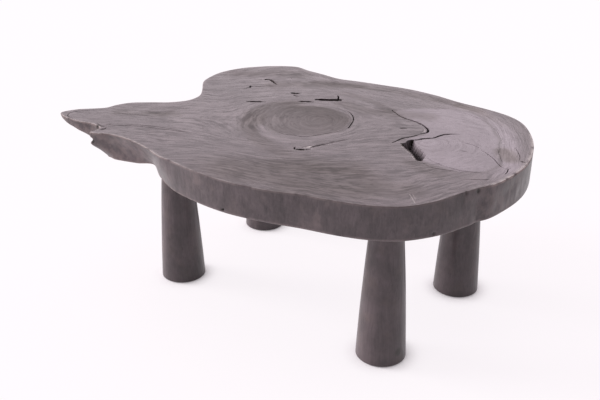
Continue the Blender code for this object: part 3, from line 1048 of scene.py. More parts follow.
@dataclass(frozen=True, kw_only=True)
class UprightStain(Stain):
    """The stain on wood whose grain stands upright: the live edge and the legs."""

    name: str
    warm: Colour
    mottle: float
    deep: Colour = (0.020, 0.014, 0.012)
    fleck_share: float = 0.25
    roughness: float = 0.34
    satin: Range = (0.08, 0.06)
    worn_dull: float = 0.6
    bump_strength: float = 0.35
    bump_height: float = 0.7 * MM
    drifts: Triple = (11.0, 11.0, 7.0)
    wander: float = 0.0
    brown_patches: Triple = (24.0, 24.0, 21.0)
    brown_range: Range = (0.48, 0.72)
    brown: float = 0.6
    torn_patches: Triple = (60.0, 60.0, 44.0)
    torn_range: Range = (0.40, 0.60)
    patches: Triple = (17.0, 17.0, 13.0)
    patch_range: Range = (0.30, 0.70)
    ledge_light_gain: float = 0.0
    knot: Triple = (0.0, 0.0, 0.0)
    knot_radius: float = 0.0
    knot_core: float = 0.3
    knot_dark: float = 0.8

    def make(self, grain: bpy.types.NodeTree, wear_and_painted_light: bpy.types.NodeTree) -> bpy.types.Material:
        """Make the material.

        Args:
            grain: the shared grain group.
            wear_and_painted_light: the shared group that lays on pale marks of use, painted highlights and
                painted shade in hollows.

        Returns:
            The material.
        """
        material, graph, shader = new_material(self.name)
        place = graph.place()
        drift = graph.add("ShaderNodeTexNoise", {
            "Vector": graph.scaled(place, self.drifts), "Scale": 1.0, "Detail": 1.0}).outputs["Color"]
        run = graph.vector("ADD", {0: place, 1: graph.scaled(drift, (self.wander, self.wander, 0.0))})
        look = self.grain_at(graph, grain, run, self.contrast)
        brown = graph.between(graph.noise(graph.scaled(place, self.brown_patches), 3.0, 0.65),
                              *self.brown_range, 0.0, self.brown)
        torn = graph.between(graph.noise(graph.scaled(place, self.torn_patches), 4.0, 0.65), *self.torn_range)
        brown = graph.math("MAXIMUM", brown, graph.math("MULTIPLY", torn, graph.attribute("torn")))
        colour = graph.mix(brown, graph.mix(look["Tone"], self.dark, self.pale), self.warm)
        if self.knot_radius:
            away = graph.vector("DISTANCE", {0: place, 1: self.knot}, "Value")
            core = self.knot_core * self.knot_radius
            spot = graph.between(away, core, self.knot_radius, self.knot_dark, 0.0)
            colour = graph.mix(spot, colour, self.deep)
        level = graph.between(graph.noise(graph.scaled(place, self.patches), 6.0, 0.68),
                              *self.patch_range, 1.0 - self.mottle, 1.0 + self.mottle)
        # Painted light lifts the colour under the ledge beside the tail.
        painted_ledge_light = graph.math("MULTIPLY", graph.attribute("painted_ledge_light"), self.ledge_light_gain)
        self.lay(graph, shader, wear_and_painted_light, StainLook(
            place, look["Tone"], look["Height"], colour, graph.math("ADD", level, painted_ledge_light),
            graph.math("MULTIPLY", graph.attribute("wear_and_painted_light"), self.worn_dull)))
        return material


# The live edge is painted paler under the ledge beside the tail: painted light.
LIVE_EDGE_STAIN = UprightStain(
    name="charcoal_stain_live_edge", dark=(0.0465, 0.0352, 0.0382), pale=(0.096, 0.0745, 0.0795),
    warm=(0.117, 0.0885, 0.0885), rubbed_and_highlight=(0.330, 0.265, 0.255), lines=(105.0, 105.0, 36.0),
    flecks=(290.0, 290.0, 90.0), mottle=0.21, contrast=0.6, patches=(34.0, 34.0, 24.0), ledge_light_gain=0.40)
LEG_STAIN = UprightStain(
    name="charcoal_stain_legs", dark=(0.052, 0.0385, 0.042), pale=(0.091, 0.068, 0.073),
    warm=(0.083, 0.060, 0.058), rubbed_and_highlight=(0.210, 0.172, 0.168), lines=(150.0, 150.0, 7.0),
    flecks=(300.0, 300.0, 26.0), mottle=0.26, contrast=0.55, wander=0.035, knot=(0.393, -0.203, 0.033),
    knot_radius=0.014)


@dataclass(frozen=True)
class ZincSteel:
    """Zinc plated steel of the plates, studs and screws, with the faint clouds of a zinc coat."""

    colour: Colour = (0.56, 0.57, 0.58)
    dull: Colour = (0.40, 0.41, 0.42)
    clouds: float = 260.0
    cloud_range: Range = (0.35, 0.65)
    roughness: Range = (0.48, 0.30)

    def make(self) -> bpy.types.Material:
        """Make the material.

        Returns:
            The material.
        """
        material, graph, shader = new_material("zinc_plated_steel")
        clouds = graph.noise(graph.scaled(graph.place(), (self.clouds,) * 3), 3.0)
        clouds = graph.between(clouds, *self.cloud_range)
        graph.feed(shader, {"Base Color": graph.mix(clouds, self.dull, self.colour), "Metallic": 1.0,
                            "Roughness": graph.between(clouds, 0.0, 1.0, *self.roughness)})
        return material


@dataclass(frozen=True)
class PressedFelt:
    """Dark pressed felt of the pads, with tangled fibres."""

    dark: Colour = (0.030, 0.028, 0.029)
    pale: Colour = (0.075, 0.070, 0.071)
    fibres: float = 900.0
    fibre_range: Range = (0.3, 0.7)
    bump_strength: float = 0.6
    bump_height: float = 0.6 * MM
    roughness: float = 0.95
    sheen: float = 0.3

    def make(self) -> bpy.types.Material:
        """Make the material.

        Returns:
            The material.
        """
        material, graph, shader = new_material("pressed_felt")
        fibres = graph.noise(graph.scaled(graph.place(), (self.fibres,) * 3), 4.0, 0.7)
        bump = graph.add("ShaderNodeBump", {
            "Strength": self.bump_strength, "Distance": self.bump_height, "Height": fibres})
        colour = graph.mix(graph.between(fibres, *self.fibre_range), self.dark, self.pale)
        graph.feed(shader, {"Base Color": colour, "Normal": bump.outputs["Normal"],
                            "Roughness": self.roughness, "Sheen Weight": self.sheen})
        return material


# Places on the plan, triangles, and for each place its number on the outline or -1.
FlatFace = tuple[np.ndarray, list[list[int]], np.ndarray]


class FacePlan:
    """Points and lines on one flat face of the slab, to be triangulated inside its outline."""

    def __init__(self, outline: np.ndarray) -> None:
        """Start a plan.

        Args:
            outline: the face's closed outline.
        """
        self.outline = outline
        self.points: list[np.ndarray] = []
        self.lines: list[tuple[int, int]] = []
        self.count = 0
        self.add_line(outline, True)

    def add_line(self, line: np.ndarray, closed: bool) -> None:
        """Add a line that triangles may not cross.

        Args:
            line: places on the plan.
            closed: whether the line runs back to its first place.
        """
        first, count = self.count, len(line)
        self.points.append(line)
        self.count += count
        self.lines += [(first + i, first + i + 1) for i in range(count - 1)]
        if closed:
            self.lines.append((first + count - 1, first))

    def fill(self, spacing: float, clear: float, seed: int, jitter: float = 0.2) -> None:
        """Scatter points inside the outline, clear of the lines.

        Args:
            spacing: distance from point to point.
            clear: least distance to a line's points, as a share of the spacing.
            seed: picks the scatter.
            jitter: how far points stray from an even grid, as a share of the spacing.
        """
        low, high = self.outline.min(0), self.outline.max(0)
        row_height = spacing * math.sqrt(3.0) / 2.0
        rows = np.arange(low[1], high[1], row_height)
        columns = np.arange(low[0], high[0], spacing)
        grid = np.array([(x + 0.5 * spacing * (i % 2), y) for i, y in enumerate(rows) for x in columns])
        grid += np.random.default_rng(seed).uniform(-jitter, jitter, grid.shape) * spacing
        grid = grid[inside_outline(grid, self.outline)]
        placed = np.vstack(self.points)
        tree = KDTree(len(placed))
        for i, point in enumerate(placed):
            tree.insert((*point, 0.0), i)
        tree.balance()
        free = [point for point in grid if tree.find((*point, 0.0))[2] > clear * spacing]
        self.points.append(np.array(free))
        self.count += len(free)

    def triangulate(self) -> FlatFace:
        """Triangulate the face.

        Returns:
            The triangulated face.
        """
        given = [Vector(point) for point in np.vstack(self.points)]
        inside, merge = 1, 1e-7
        places, _, faces, origins, _, _ = delaunay_2d_cdt(given, self.lines, [], inside, merge)
        rim_count = len(self.outline)
        on_rim = [next((i for i in origin if i < rim_count), -1) for origin in origins]
        plan = np.array([(place.x, place.y) for place in places])
        return plan, [list(face) for face in faces], np.array(on_rim)


class SlabMesh:
    """The slab's places and faces as they are put together, with each place's painted light and marks of use.
    """

    def __init__(self, rings: np.ndarray, wear_and_painted_light: np.ndarray) -> None:
        """Start with the live edge.

        Args:
            rings: its rings of places, from the underside to the top.
            wear_and_painted_light: how pale each place is from use, with the painted highlight along the rim.
        """
        self.rings, self.around = rings.shape[:2]
        self.wall_count = self.count = self.rings * self.around
        self.places = [rings.reshape(-1, 3)]
        self.wear_and_painted_light = [wear_and_painted_light.reshape(-1)]
        self.hollow = [np.zeros(self.count)]
        self.faces: list[list[int]] = []
        self.kinds: list[int] = []

    def close_wall(self, sawn_rows: int) -> None:
        """Add the faces between the rings.

        Args:
            sawn_rows: how many rows of faces beside the top and the underside count as sawn.
        """
        for ring in range(self.rings - 1):
            sawn = ring < sawn_rows or ring >= self.rings - 1 - sawn_rows
            low, high = ring * self.around, (ring + 1) * self.around
            for i in range(self.around):
                j = (i + 1) % self.around
                self.faces.append([low + j, low + i, high + i, high + j])
                self.kinds.append((Face.SAWN if sawn else Face.LIVE_EDGE).value)

    def close_face(self, face: FlatFace, heights: np.ndarray, wear_and_painted_light: np.ndarray, hollow: np.ndarray,
                   upward: bool) -> None:
        """Add the top or the underside, joined to the wall's last or first ring.

        Args:
            face: the triangulated face.
            heights: height of each place.
            wear_and_painted_light: how pale each place is from use, with the painted highlight along the rim.
            hollow: how dark the painted shade in the cracks and the void is at each place.
            upward: True for the top.
        """
        plan, triangles, on_ring = face
        free = on_ring < 0
        ring = self.wall_count - self.around if upward else 0
        numbers = np.where(free, self.count + np.cumsum(free) - 1, ring + on_ring).tolist()
        self.places.append(np.column_stack([plan, heights])[free])
        self.wear_and_painted_light.append(wear_and_painted_light[free])
        self.hollow.append(hollow[free])
        self.count += int(free.sum())
        for triangle in triangles:
            self.faces.append([numbers[i] for i in (triangle if upward else reversed(triangle))])
            self.kinds.append(Face.SAWN.value)

    def press(self, points: np.ndarray, hollow: np.ndarray, pit: Pit) -> None:
        """Press a pit into the live edge.

        Args:
            points: all places, changed in place.
            hollow: shares of painted shade, changed in place.
            pit: the pit.
        """
        wall = slice(self.wall_count)
        middle = np.array(pit.place) * MM
        share = np.clip(1.0 - (away_from(points[wall], middle) / (pit.radius * MM)) ** 2, 0.0, 1.0)
        inward = -middle * np.array([1.0, 1.0, 0.0])
        inward /= np.linalg.norm(inward)
        points[wall] += inward * (share * pit.depth * MM)[:, None]
        # The pit is painted darker towards its middle: painted shade.
        hollow[wall] = np.maximum(hollow[wall], pit.dark * share)


@dataclass
class LiveEdgeSlab:
    """The slab: a lofted live edge between a cracked top and an underside with seats for the leg plates."""

    growth: GrowthPlan = field(default_factory=GrowthPlan)
    # The lofted live edge.
    steps: int = 16
    lower_rings: int = 13
    upper_rings: int = 10
    arris_rings: int = 4
    smooth_passes: int = 4
    sawn_rows: int = 2
    rim_arris: float = 2.0 * MM
    foot_arris: float = 4.0 * MM
    # How uneven it is.
    edge_wavers: tuple[Wave, ...] = ((0.5 * MM, 12.0, 3.7), (0.1 * MM, 45.0, 9.1))
    notch_waver: Wave = (1.3 * MM, 130.0, 17.0)
    belly: Wave = (1.0 * MM, 14.0, 21.0)
    tool_marks: Wave = (0.4 * MM, 75.0, 13.0)
    tool_mark_length: float = 0.12
    torn_waver: Wave = (2.6 * MM, 38.0, 31.0)
    fold_depth: float = 4.0 * MM
    fold_rise: Range = (1.0, 0.55)
    # Places pale from use, painted highlights along the rim, and painted light under the ledge.
    rim_wear_and_highlight: float = 0.20
    left_wear_and_highlight: float = 0.30
    end_wear_and_highlight: float = 0.88
    inner_wear_and_highlight: float = 0.55
    end_band: float = 8.0 * MM
    end_band_wear_and_highlight: float = 0.45
    end_band_start: Range = (0.46, 0.52)
    ledge_drop: Range = (0.004, 0.018)
    ledge_fade: Range = (-0.28, -0.36)
    ledge_end: float = 0.5
    # Fill of the top and the underside.
    top_spacing: float = 4.6 * MM
    top_clear: float = 0.62
    top_seed: int = 7
    top_swell: tuple[Wave, ...] = ((0.7 * MM, 5.0, 2.2), (0.3 * MM, 17.0, 6.1))
    underside_spacing: float = 11.0 * MM
    underside_clear: float = 0.4
    underside_seed: int = 8
    sharp_from: float = 42.0
    # The void, its fluted slope and its painted shade.
    lip_steps: int = 16
    lip_waver: Wave = (1.1 * MM, 150.0, 4.2)
    void_rings: tuple[float, ...] = (0.0, 0.08, 0.20, 0.36, 0.55, 0.77)
    void_middle_steps: int = 8
    void_depth: float = 45.0 * MM
    near_slope: float = 4.0 * MM
    far_slope: float = 24.0 * MM
    slope_bow: float = 1.6
    flutes: Wave = (0.55, 0.36, 5.5)
    gloom: float = 0.17
    slope_gloom: float = 0.30
    flute_gloom: float = 0.20
    floor_gloom: float = 0.7
    floor_start: Range = (0.50, 0.95)
    lip_gloom: float = 0.7
    # The cracks, and the painted shade in them.
    crack_step: float = 2.5 * MM
    crack_taper: float = 0.22
    crack_waves: float = 0.31
    crack_seed: float = 11.7
    crack_floor: float = 0.9
    crack_reach: float = 10.0 * MM
    least_width: float = 0.001 * MM
    dark_depth: float = 5.0 * MM
    least_dark: float = 0.08
    # Growth lines and shades.
    shade_limits: Range = (-0.5, 1.0)
    band_lines: float = 2.0
    # Seats of the plates, studs and screws.
    plate_seat: float = 3.3 * MM
    boss_radius: float = 10.0 * MM
    screw_radius: float = 2.1 * MM
    seat_sides: int = 32
    seat_wall: float = 0.04 * MM
    fit: float = 0.3 * MM

    def __post_init__(self) -> None:
        """Take the slab's size and heights from the frame."""
        low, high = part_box("slab_top")
        self.underside, self.top = low.z, high.z
        drawn = np.array([station.rim for station in LIVE_EDGE], float)
        self.drawn_middle = (drawn.min(0) + drawn.max(0)) / 2.0
        self.stretch = np.array([high.x - low.x, high.y - low.y]) / (drawn.max(0) - drawn.min(0))
        self.made_middle = plan_middle(low, high)
        self.cracks = {name: self.crack_samples(crack, i) for i, (name, crack) in enumerate(CRACKS.items())}
        self.near_lip, self.far_lip = self.void_lips()
        self.mouth = np.vstack([self.near_lip, self.far_lip])

    def on_slab(self, drawn: Any) -> np.ndarray:
        """Turn drawn places into places on the slab, in metres."""
        return (np.array(drawn, float) - self.drawn_middle) * self.stretch + self.made_middle

    def crack_samples(self, crack: Crack, seed: int) -> tuple[np.ndarray, np.ndarray, np.ndarray]:
        """Follow a crack in short steps.

        Args:
            crack: the crack.
            seed: picks how its width wavers.

        Returns:
            The places along it, and its half width and depth at each.
        """
        points = self.on_slab(crack.line)
        length = np.linalg.norm(np.diff(points, axis=0), axis=1).mean()
        line = spline(points, max(2, round(length / self.crack_step)), False)
        share = np.linspace(0.0, 1.0, len(line))
        ends = np.minimum(crack.start + (1 - crack.start) * smoothstep(share, 0.0, self.crack_taper),
                          crack.end + (1 - crack.end) * smoothstep(1.0 - share, 0.0, self.crack_taper))
        waver = noise_at((share * len(line))[:, None], self.crack_waves, self.crack_seed * seed)
        width = crack.half_width * MM * ends * (1.0 + crack.ragged * waver)
        return line, width, crack.depth * MM * np.sqrt(ends)

    def void_lips(self) -> tuple[np.ndarray, np.ndarray]:
        """Draw the void's ragged mouth.

        Returns:
            The near lip and the far lip on the plan.
        """
        mouth = spline(self.on_slab(VOID_NEAR_LIP + VOID_FAR_LIP), self.lip_steps, True)
        from_middle = mouth - mouth.mean(0)
        from_middle /= np.linalg.norm(from_middle, axis=1)[:, None]
        mouth = mouth + from_middle * waver_at(mouth, self.lip_waver)[:, None]
        near_count = self.lip_steps * len(VOID_NEAR_LIP)
        return mouth[:near_count], mouth[near_count:]

    def void_hollow(self, plan: np.ndarray) -> tuple[np.ndarray, np.ndarray]:
        """Work out how deep the void is: steep under its near lip, a fluted slope down from its far lip.

        Args:
            plan: places on the plan.

        Returns:
            The depth in metres, and how dark its painted shade is, at each place.
        """
        inside = inside_outline(plan, self.mouth)
        near, _ = nearest_on_line(plan, np.vstack([self.near_lip, self.far_lip[:1]]))
        far, place = nearest_on_line(plan, np.vstack([self.far_lip, self.near_lip[:1]]))
        flute = waver_at(place[:, None], self.flutes)
        slope = np.clip(far * (1.0 + flute) / self.far_slope, 0.0, 1.0)
        steep = np.clip(near / self.near_slope, 0.0, 1.0)
        reach = np.where(inside, steep * (1.0 - (1.0 - slope) ** self.slope_bow), 0.0)
        # The void is painted darker down its slope and under its near lip: painted shade.
        dark = self.gloom + self.slope_gloom * slope + self.flute_gloom * flute
        dark += self.floor_gloom * smoothstep(slope, *self.floor_start) + self.lip_gloom * (1.0 - steep)
        return self.void_depth * reach, np.where(inside, np.clip(dark, 0.0, 1.0), 0.0)

    def hollow_depth(self, plan: np.ndarray) -> tuple[np.ndarray, np.ndarray, np.ndarray]:
        """Work out how deep the cracks and the void are below the top.

        Args:
            plan: places on the plan.

        Returns:
            The depth in metres, how dark its painted shade is, and how pale scuffs and painted highlights
            make it, at each place.
        """
        depth, dark = self.void_hollow(plan)
        rubbed_and_highlight = np.zeros(len(plan))
        for name, (line, width, depths) in self.cracks.items():
            low, high = line.min(0) - self.crack_reach, line.max(0) + self.crack_reach
            near = np.all((plan > low) & (plan < high), axis=1)
            if not near.any():
                continue
            distance, place = nearest_on_line(plan[near], line)
            counts = np.arange(len(line))
            local_width = np.maximum(np.interp(place, counts, width), self.least_width)
            inside = np.sqrt(np.clip(1.0 - (distance / local_width) ** 2, 0.0, 1.0))
            groove = np.interp(place, counts, depths) * inside
            depth[near] = np.maximum(depth[near], groove)
            if CRACKS[name].rubbed_and_highlight:
                rubbed_and_highlight[near] = np.maximum(rubbed_and_highlight[near], CRACKS[name].rubbed_and_highlight * inside)
            else:
                # A crack is painted darker the deeper it is: painted shade.
                gloom = inside * np.clip(groove / self.dark_depth, self.least_dark, 1.0)
                dark[near] = np.maximum(dark[near], gloom)
        return depth, dark, rubbed_and_highlight

    def rings(self) -> tuple[np.ndarray, np.ndarray]:
        """Loft the live edge.

        Returns:
            The places, ring by ring from the underside to the top, and how worn each is.
        """
        drawn = (self.on_slab([getattr(station, name) for station in LIVE_EDGE])
                 for name in ("rim", "waist", "foot"))
        rim, waist, foot = (self.roughened(spline(line, self.steps, True), seed)
                            for seed, line in enumerate(drawn))
        drop = spline(np.array([[station.drop] for station in LIVE_EDGE]), self.steps, True)[:, 0]
        low = np.column_stack([foot, np.full(len(foot), self.underside + self.foot_arris)])
        middle = np.column_stack([waist, self.top - drop * (self.top - self.underside)])
        high = np.column_stack([rim, np.full(len(rim), self.top - self.rim_arris)])
        wall = [low + (middle - low) * i / self.lower_rings for i in range(self.lower_rings)]
        wall += [middle + (high - middle) * i / self.upper_rings for i in range(self.upper_rings + 1)]
        wall = np.array(wall)
        for _ in range(self.smooth_passes):
            wall[1:-1] = 0.25 * wall[:-2] + 0.5 * wall[1:-1] + 0.25 * wall[2:]
        wall = self.uneven(wall)
        below = self.arris(wall[0], self.foot_arris, -1.0)[::-1]
        above = self.arris(wall[-1], self.rim_arris, 1.0)
        rings = np.concatenate([below, wall, above])
        # The rim's arris is paler, from use and from a painted highlight that is strongest at the right end.
        wear_and_painted_light = np.zeros(rings.shape[:2])
        painted_light_and_wear = self.rim_wear_and_highlight + self.left_wear_and_highlight * WORN_AND_LIT_FRONT_LEFT.at(rim)
        wear_and_painted_light[:self.arris_rings + 1] = painted_light_and_wear
        wear_and_painted_light[-self.arris_rings - 1:] = painted_light_and_wear + self.end_wear_and_highlight * WORN_AND_LIT_RIGHT_END.at(rim)
        wear_and_painted_light[-1] *= self.inner_wear_and_highlight
        return rings, wear_and_painted_light

    def roughened(self, ring: np.ndarray, seed: int) -> np.ndarray:
        """Make a drawn ring waver slightly, as a debarked edge does, and more in the torn notch.

        Args:
            ring: places on the plan.
            seed: picks how it wavers.

        Returns:
            The wavering ring.
        """
        (broad, broad_count, broad_step), (fine, fine_count, fine_seed) = self.edge_wavers
        torn, torn_count, torn_seed = self.notch_waver
        waver = waver_at(ring, (broad, broad_count, broad_step * seed), (fine, fine_count, fine_seed + seed))
        waver += NOTCH.at(ring) * waver_at(ring, (torn, torn_count, torn_seed + seed))
        return ring + outward(ring) * waver[:, None]

    def uneven(self, wall: np.ndarray) -> np.ndarray:
        """Add belly, upright tool marks, torn places and the fold to the wall.

        Args:
            wall: rings of places from the foot to the rim.

        Returns:
            The wall, with its last ring as it was.
        """
        flat = wall.reshape(-1, 3)
        rise = np.linspace(0.0, 1.0, len(wall))
        fade, open_below = (np.repeat(rows, wall.shape[1])
                            for rows in (np.sin(np.pi * rise), smoothstep(rise, *self.fold_rise)))
        push = waver_at(flat, self.belly)
        push += waver_at(flat * np.array([1.0, 1.0, self.tool_mark_length]), self.tool_marks)
        push += self.torn(flat) * waver_at(flat, self.torn_waver)
        push = fade * push - self.fold_depth * FOLD.at(flat) * open_below
        moved = flat.copy()
        moved[:, :2] += np.concatenate([outward(ring) for ring in wall]) * push[:, None]
        return moved.reshape(wall.shape)

    @staticmethod
    def torn(points: np.ndarray) -> np.ndarray:
        """How torn and brown the live edge is: on the tail and its ledge, and less at the right end."""
        return np.maximum(TORN_TAIL.at(points), TORN_RIGHT_END.at(points))

    def painted_ledge_light(self, points: np.ndarray) -> np.ndarray:
        """How much the live edge is lifted by painted light: under the ledge beside the tail, and less on the
        tail.
        """
        on_tail = 1.0 - self.ledge_end * smoothstep(points[:, 0], *self.ledge_fade)
        return LIT_LEDGE.at(points) * on_tail * smoothstep(self.top - points[:, 2], *self.ledge_drop)

    def arris(self, ring: np.ndarray, radius: float, side: float) -> np.ndarray:
        """Round the wall over into the top or the underside.

        Args:
            ring: the wall's last ring.
            radius: radius of the rounding.
            side: 1 for the top, -1 for the underside.

        Returns:
            The rounding's rings, from the wall on.
        """
        rows = []
        for i in range(1, self.arris_rings + 1):
            turn = 0.5 * math.pi * i / self.arris_rings
            row = ring.copy()
            row[:, :2] -= outward(ring) * radius * (1.0 - math.cos(turn))
            row[:, 2] += side * radius * math.sin(turn)
            rows.append(row)
        return np.array(rows)

    def top_plan(self, outline: np.ndarray) -> FacePlan:
        """Lay out the top: outline, void, cracks and fill.

        Args:
            outline: the wall's last ring on the plan.

        Returns:
            The plan.
        """
        plan = FacePlan(outline)
        middle = spline(self.on_slab(VOID_MIDDLE), self.void_middle_steps, False)
        _, place = nearest_on_line(self.mouth, middle)
        target = np.column_stack([np.interp(place, np.arange(len(middle)), axis) for axis in middle.T])
        for share in self.void_rings:
            plan.add_line(self.mouth + (target - self.mouth) * share, True)
        plan.add_line(middle, False)
        for line, width, _ in self.cracks.values():
            along = np.gradient(line, axis=0)
            along /= np.linalg.norm(along, axis=1)[:, None]
            side = np.column_stack([-along[:, 1], along[:, 0]]) * width[:, None]
            for reach in (1.0, self.crack_floor):
                plan.add_line(np.vstack([line + reach * side, (line - reach * side)[::-1]]), True)
            plan.add_line(line, False)
        plan.fill(self.top_spacing, self.top_clear, self.top_seed)
        return plan

    def plate_seats(self) -> list[tuple[np.ndarray, float, float]]:
        """List the round hollows under the slab for plates, bosses, studs and screws.

        Returns:
            Middle, radius and depth above the underside of each.
        """
        seats = []
        for corner in Corner:
            low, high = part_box(f"leg_plate_{corner.value}")
            middle = plan_middle(low, high)
            stud_low, stud_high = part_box(f"leg_stud_{corner.value}")
            stud_radius = (stud_high.x - stud_low.x) / 2.0
            seats.append((middle, (high.x - low.x) / 2.0 + self.fit, self.plate_seat))
            seats.append((middle, self.boss_radius + self.fit, high.z - self.underside + self.fit))
            seats.append((middle, stud_radius + 2 * self.fit, stud_high.z - self.underside + self.fit))
            for number in (1, 2, 3):
                low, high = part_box(f"plate_screw_{corner.value}_{number}")
                depth = high.z - self.underside + self.fit
                seats.append((plan_middle(low, high), self.screw_radius + self.fit, depth))
        return seats

    def underside_plan(self, outline: np.ndarray) -> FacePlan:
        """Lay out the underside: outline, the steep walls of the seats, and fill.

        Args:
            outline: the wall's first ring on the plan.

        Returns:
            The plan.
        """
        plan = FacePlan(outline)
        turn = np.linspace(0.0, math.tau, self.seat_sides, endpoint=False)
        circle = np.column_stack([np.cos(turn), np.sin(turn)])
        for middle, radius, _ in self.plate_seats():
            for inset in (0.0, self.seat_wall):
                plan.add_line(middle + circle * (radius - inset), True)
        plan.fill(self.underside_spacing, self.underside_clear, self.underside_seed)
        return plan

    def seat_depth(self, plan: np.ndarray) -> np.ndarray:
        """Work out how deep the plate seats are.

        Args:
            plan: places of the underside on the plan.

        Returns:
            The depth above the underside at each place.
        """
        depth = np.zeros(len(plan))
        for middle, radius, seat_depth in self.plate_seats():
            inside = away_from(plan, middle) < radius - self.seat_wall / 2.0
            depth[inside] = np.maximum(depth[inside], seat_depth)
        return depth

    def close(self, rings: np.ndarray, wear_and_painted_light: np.ndarray) -> SlabMesh:
        """Close the live edge with the top and the underside.

        Args:
            rings: the live edge's rings.
            wear_and_painted_light: how pale they are from use, with the painted highlight along the rim.

        Returns:
            The closed mesh.
        """
        made = SlabMesh(rings, wear_and_painted_light)
        made.close_wall(self.sawn_rows)
        foot, rim = rings[0][:, :2], rings[-1][:, :2]
        face = self.top_plan(rim).triangulate()
        plan = face[0]
        depth, dark, rubbed_and_highlight = self.hollow_depth(plan)
        from_rim, _ = nearest_on_line(plan, rim)
        # A pale band on the top along the right end's rim: painted highlight and marks of use.
        end_band = smoothstep(plan[:, 0], *self.end_band_start) * smoothstep(from_rim, self.end_band, 0.0)
        rubbed_and_highlight = np.maximum(rubbed_and_highlight, self.end_band_wear_and_highlight * end_band)
        swell = np.minimum(waver_at(plan, *self.top_swell), 0.0)
        made.close_face(face, self.top + swell - depth, rubbed_and_highlight, dark, True)
        face = self.underside_plan(foot).triangulate()
        plain = np.zeros(len(face[0]))
        made.close_face(face, self.underside + self.seat_depth(face[0]), plain, plain, False)
        return made

    def build(self, materials: list[bpy.types.Material]) -> bpy.types.Object:
        """Make the slab's mesh and its attributes.

        Args:
            materials: the sawn and the live edge material, in the order of Face.

        Returns:
            The slab.
        """
        rings, wear_and_painted_light = self.rings()
        made = self.close(rings, wear_and_painted_light)
        points, hollow = np.concatenate(made.places), np.concatenate(made.hollow)
        for pit in EDGE_PITS:
            made.press(points, hollow, pit)
        mesh = bpy.data.meshes.new("live_edge_slab")
        mesh.from_pydata(points.tolist(), [], made.faces)
        for material in materials:
            mesh.materials.append(material)
        mesh.polygons.foreach_set("material_index", np.array(made.kinds, np.int32))
        mesh.validate()
        mesh.shade_smooth()
        mesh.set_sharp_from_angle(angle=math.radians(self.sharp_from))
        self.mark(mesh, points, np.concatenate(made.wear_and_painted_light), hollow, rings[-1][:, :2])
        slab = in_scene("live_edge_slab", mesh)
        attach(slab, "root")
        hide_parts("slab_top")
        return slab

    def mark(self, mesh: bpy.types.Mesh, points: np.ndarray, wear_and_painted_light: np.ndarray, hollow: np.ndarray,
             rim: np.ndarray) -> None:
        """Write what the materials read at each place.

        Args:
            mesh: the slab's mesh.
            points: its places.
            wear_and_painted_light: how pale each place is from use, with the painted highlight along the rim.
            hollow: how dark the painted shade in the cracks and the void is at each place.
            rim: the rim on the plan.
        """
        plan = points[:, :2]
        burl, band, outside = self.growth.burl(plan, self.on_slab(BURL_BORDER))
        heart = self.growth.heart(plan)
        lines = {name: self.on_slab(drawn.line) for name, drawn in SHADES.items()}
        # The highlight along the rim, the shade in cracks, the void and pits, and the light under the ledge
        # are painted into these values.
        values = {
            "growth": self.growth.rings(plan, rim) + self.band_lines * outside,
            "burl_growth": self.growth.burl_rings(plan),
            "heart": heart,
            "shade": np.clip(heart + self.growth.shade(plan, lines), *self.shade_limits),
            "burl": burl,
            "band": band,
            "wear_and_painted_light": wear_and_painted_light,
            "hollow": hollow,
            "torn": self.torn(points),
            "painted_ledge_light": self.painted_ledge_light(points),
        }
        for name, value in values.items():
            attribute = mesh.attributes.new(name, "FLOAT", "POINT")
            attribute.data.foreach_set("value", np.asarray(value, np.float32))


LEG_SIZES = ("Bottom", "Top", "Foot Radius", "Top Radius", "Swell", "Foot Round", "Top Arris", "Bore Radius",
             "Bore Bottom", "Unevenness", "Seed")


